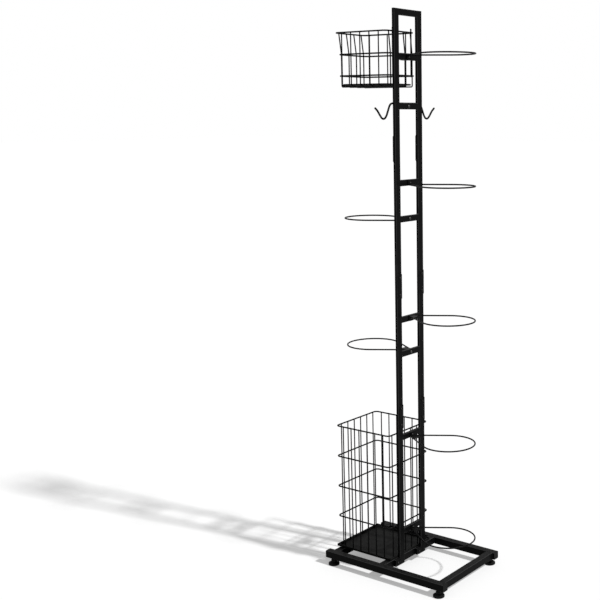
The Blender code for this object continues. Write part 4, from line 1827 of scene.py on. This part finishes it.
@dataclass
class TallBasket(WireBasket):
    """Open-bottomed wire basket with five hoops, and the folded tray that it stands in."""

    x_range: tuple[float, float] = (-0.2865, -0.0125)
    half_y: float = 0.1300
    bottom: float = 0.0636
    rim_z: float = 0.5840
    corner: float = 0.015
    levels: int = 5
    count: int = 6
    pitch: float = 0.0414
    squeeze: float = 0.0009  # how much less a weld reaches from the hoop to the wire
    sheet: float = 0.0015
    fold: float = 0.0022
    floor_fold: float = 0.8  # fold at the tray's floor, as a share of the upright one
    fold_faces: int = 3
    lip_edge: float = 0.0004

    @property
    def middle(self) -> Vector:
        """Middle of the basket's floor."""
        return Vector(((self.x_range[0] + self.x_range[1]) / 2, 0.0, self.bottom))

    @property
    def rise(self) -> Vector:
        """Step from one hoop to the next."""
        return Vector((0.0, 0.0, (self.rim_z - self.bottom) / (self.levels - 1)))

    def face(self, foot: Vector, step: Vector) -> list[Workpiece]:
        """Model one side: its uprights and the welds at every crossing.

        Args:
            foot: Middle of the side, at the uprights' feet.
            step: From one upright to the next.

        Returns:
            The uprights and the welds.
        """
        out = (foot - self.middle).normalized()
        start = foot - step * (self.count - 1) / 2
        wire = Wire(start, (0, 0, 1), self.wire, self.sides)
        rod = wire.run_to((start.x, start.y, self.rim_z - SUNK)).end()
        size = Vector((self.spot,) * 3) - self.squeeze * Vector(map(abs, out))
        spot = SPOT.weld(start + out * self.reach / 2, size)
        return [rod.repeat(self.count, step),
                spot.repeat(self.levels, self.rise).repeat(self.count, step)]

    def basket(self) -> None:
        """Model the basket as one welded piece."""
        (x0, x1), y, reach = self.x_range, self.half_y, self.reach
        hoops = round_hoop(self.x_range, (-y, y), self.bottom, self.corner, self.rim_wire)
        hoops.repeat(self.levels, self.rise)
        rest = []
        for side in (-y + reach, y - reach):
            rest += self.face(Vector((self.middle.x, side, self.bottom)), self.pitch * Axis.X.unit)
        for side in (x0 + reach, x1 - reach):
            rest += self.face(Vector((side, 0.0, self.bottom)), self.pitch * Axis.Y.unit)
        hoops.join(rest).hand_over("tall_wire_basket", PowderCoat(), ["tall_basket"])

    def tray(self) -> None:
        """Fold the tray from sheet."""
        low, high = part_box("tray")
        tray = Workpiece.block(low, high).round_along(Axis.Z, self.fold)
        tray.soften(Axis.Z, -1, self.fold * self.floor_fold, self.fold_faces)
        tray.sink(Axis.Z, 1, self.sheet, high.z - low.z - self.sheet)
        with tray.edited():
            tray.pick(Kind.EDGE, lambda e: all(abs(v.co.z - high.z) < CLOSE for v in e.verts)
                      and len({round(f.normal.z, 2) for f in e.link_faces}) == 2)
            bevel(self.lip_edge, 2)
        tray.hand_over("folded_tray", TrayCoat(), ["tray"])

    def build(self) -> None:
        """Model the basket and its tray."""
        self.basket()
        self.tray()


# Studio
@dataclass
class Studio:
    """Pale floor, soft light from the right and the camera."""

    camera_place: tuple[float, float, float] = (2.4973, -3.3074, 1.8516)
    azimuth: float = 33.92
    dip: float = 10.02
    lens: float = 63.08
    sensor: float = 36.0
    shift_x: float = -0.277
    sight: float = 200.0
    sun_bearing: float = 8.0
    sun_height: float = 46.0
    sun_strength: float = 3.0
    sun_width: float = 3.0
    ambient: float = 0.24
    reflected: float = 0.55
    floor_size: float = 120.0
    floor_grey: float = 0.74
    floor_lift: float = 0.335

    def camera(self) -> None:
        """Set the camera at the photograph's angle."""
        data = bpy.data.cameras.new("camera")
        data.lens, data.sensor_width, data.shift_x = self.lens, self.sensor, self.shift_x
        data.clip_end = self.sight
        camera = bpy.data.objects.new("camera", data)
        bpy.context.scene.collection.objects.link(camera)
        camera.location = self.camera_place
        camera.rotation_euler = (math.radians(90.0 - self.dip), 0.0, math.radians(self.azimuth))
        bpy.context.scene.camera = camera

    def lamp(self) -> None:
        """Hang the soft sun on the right."""
        data = bpy.data.lights.new("key", "SUN")
        data.energy, data.angle = self.sun_strength, math.radians(self.sun_width)
        key = bpy.data.objects.new("key", data)
        bpy.context.scene.collection.objects.link(key)
        bearing, height = math.radians(self.sun_bearing), math.radians(self.sun_height)
        toward = Vector((math.cos(bearing) * math.cos(height),
                         math.sin(bearing) * math.cos(height), math.sin(height)))
        key.rotation_euler = toward.to_track_quat("Z", "Y").to_euler()

    def sky(self) -> None:
        """Light all round, and a white background for the camera."""
        world = bpy.data.worlds.new("studio")
        bpy.context.scene.world = world
        world.use_nodes = True
        graph = Graph(world.node_tree)
        camera, glossy, through = (
            graph.node("ShaderNodeLightPath", output=f"Is {kind} Ray")
            for kind in ("Camera", "Glossy", "Transmission"))
        strength = self.ambient + camera.math("MAXIMUM", through) * (1.0 - self.ambient)
        strength = strength + glossy * (self.reflected - self.ambient)
        light = graph.node("ShaderNodeBackground", None, {"Color": WHITE, "Strength": strength})
        graph.node("ShaderNodeOutputWorld", None, {"Surface": light})

    def floor(self) -> None:
        """Lay the pale floor, which keeps the rack's shadow."""
        clear_bench()
        bpy.ops.mesh.primitive_plane_add(size=self.floor_size, location=(0.0, 0.0, 0.0))
        plane = bpy.context.object
        plane.name = "floor"
        material = bpy.data.materials.new("pale_floor")
        material.use_nodes = True
        graph = Graph(material.node_tree)
        grey = self.floor_grey
        matt = graph.node("ShaderNodeBsdfDiffuse", None, {"Color": (grey, grey, grey, 1.0)})
        seen = graph.node("ShaderNodeLightPath", output="Is Camera Ray")
        lift = graph.node("ShaderNodeEmission", None,
                          {"Color": WHITE, "Strength": seen * self.floor_lift})
        both = graph.node("ShaderNodeAddShader", None, {0: matt, 1: lift})
        graph.node("ShaderNodeOutputMaterial", None, {"Surface": both})
        plane.data.materials.append(material)

    def build(self) -> None:
        """Set up the studio."""
        self.camera()
        self.lamp()
        self.sky()
        self.floor()
        bpy.context.scene.view_settings.view_transform = "Standard"


def write_sizes() -> None:
    """Bring the view layer up to date."""
    bpy.context.view_layer.update()


def main() -> None:
    """Build the studio and every sub-assembly in order."""
    logging.basicConfig(level=logging.INFO, format="%(message)s")
    for assembly in (Studio(), BaseFrame(), LevellingFeet(), Ladder(), Bolts(), Rings(),
                     DoubleHook(), TopBasket(), TallBasket()):
        assembly.build()
        log.info("built %s", type(assembly).__name__)
    clear_bench()
    write_sizes()


if __name__ == "__main__":
    main()
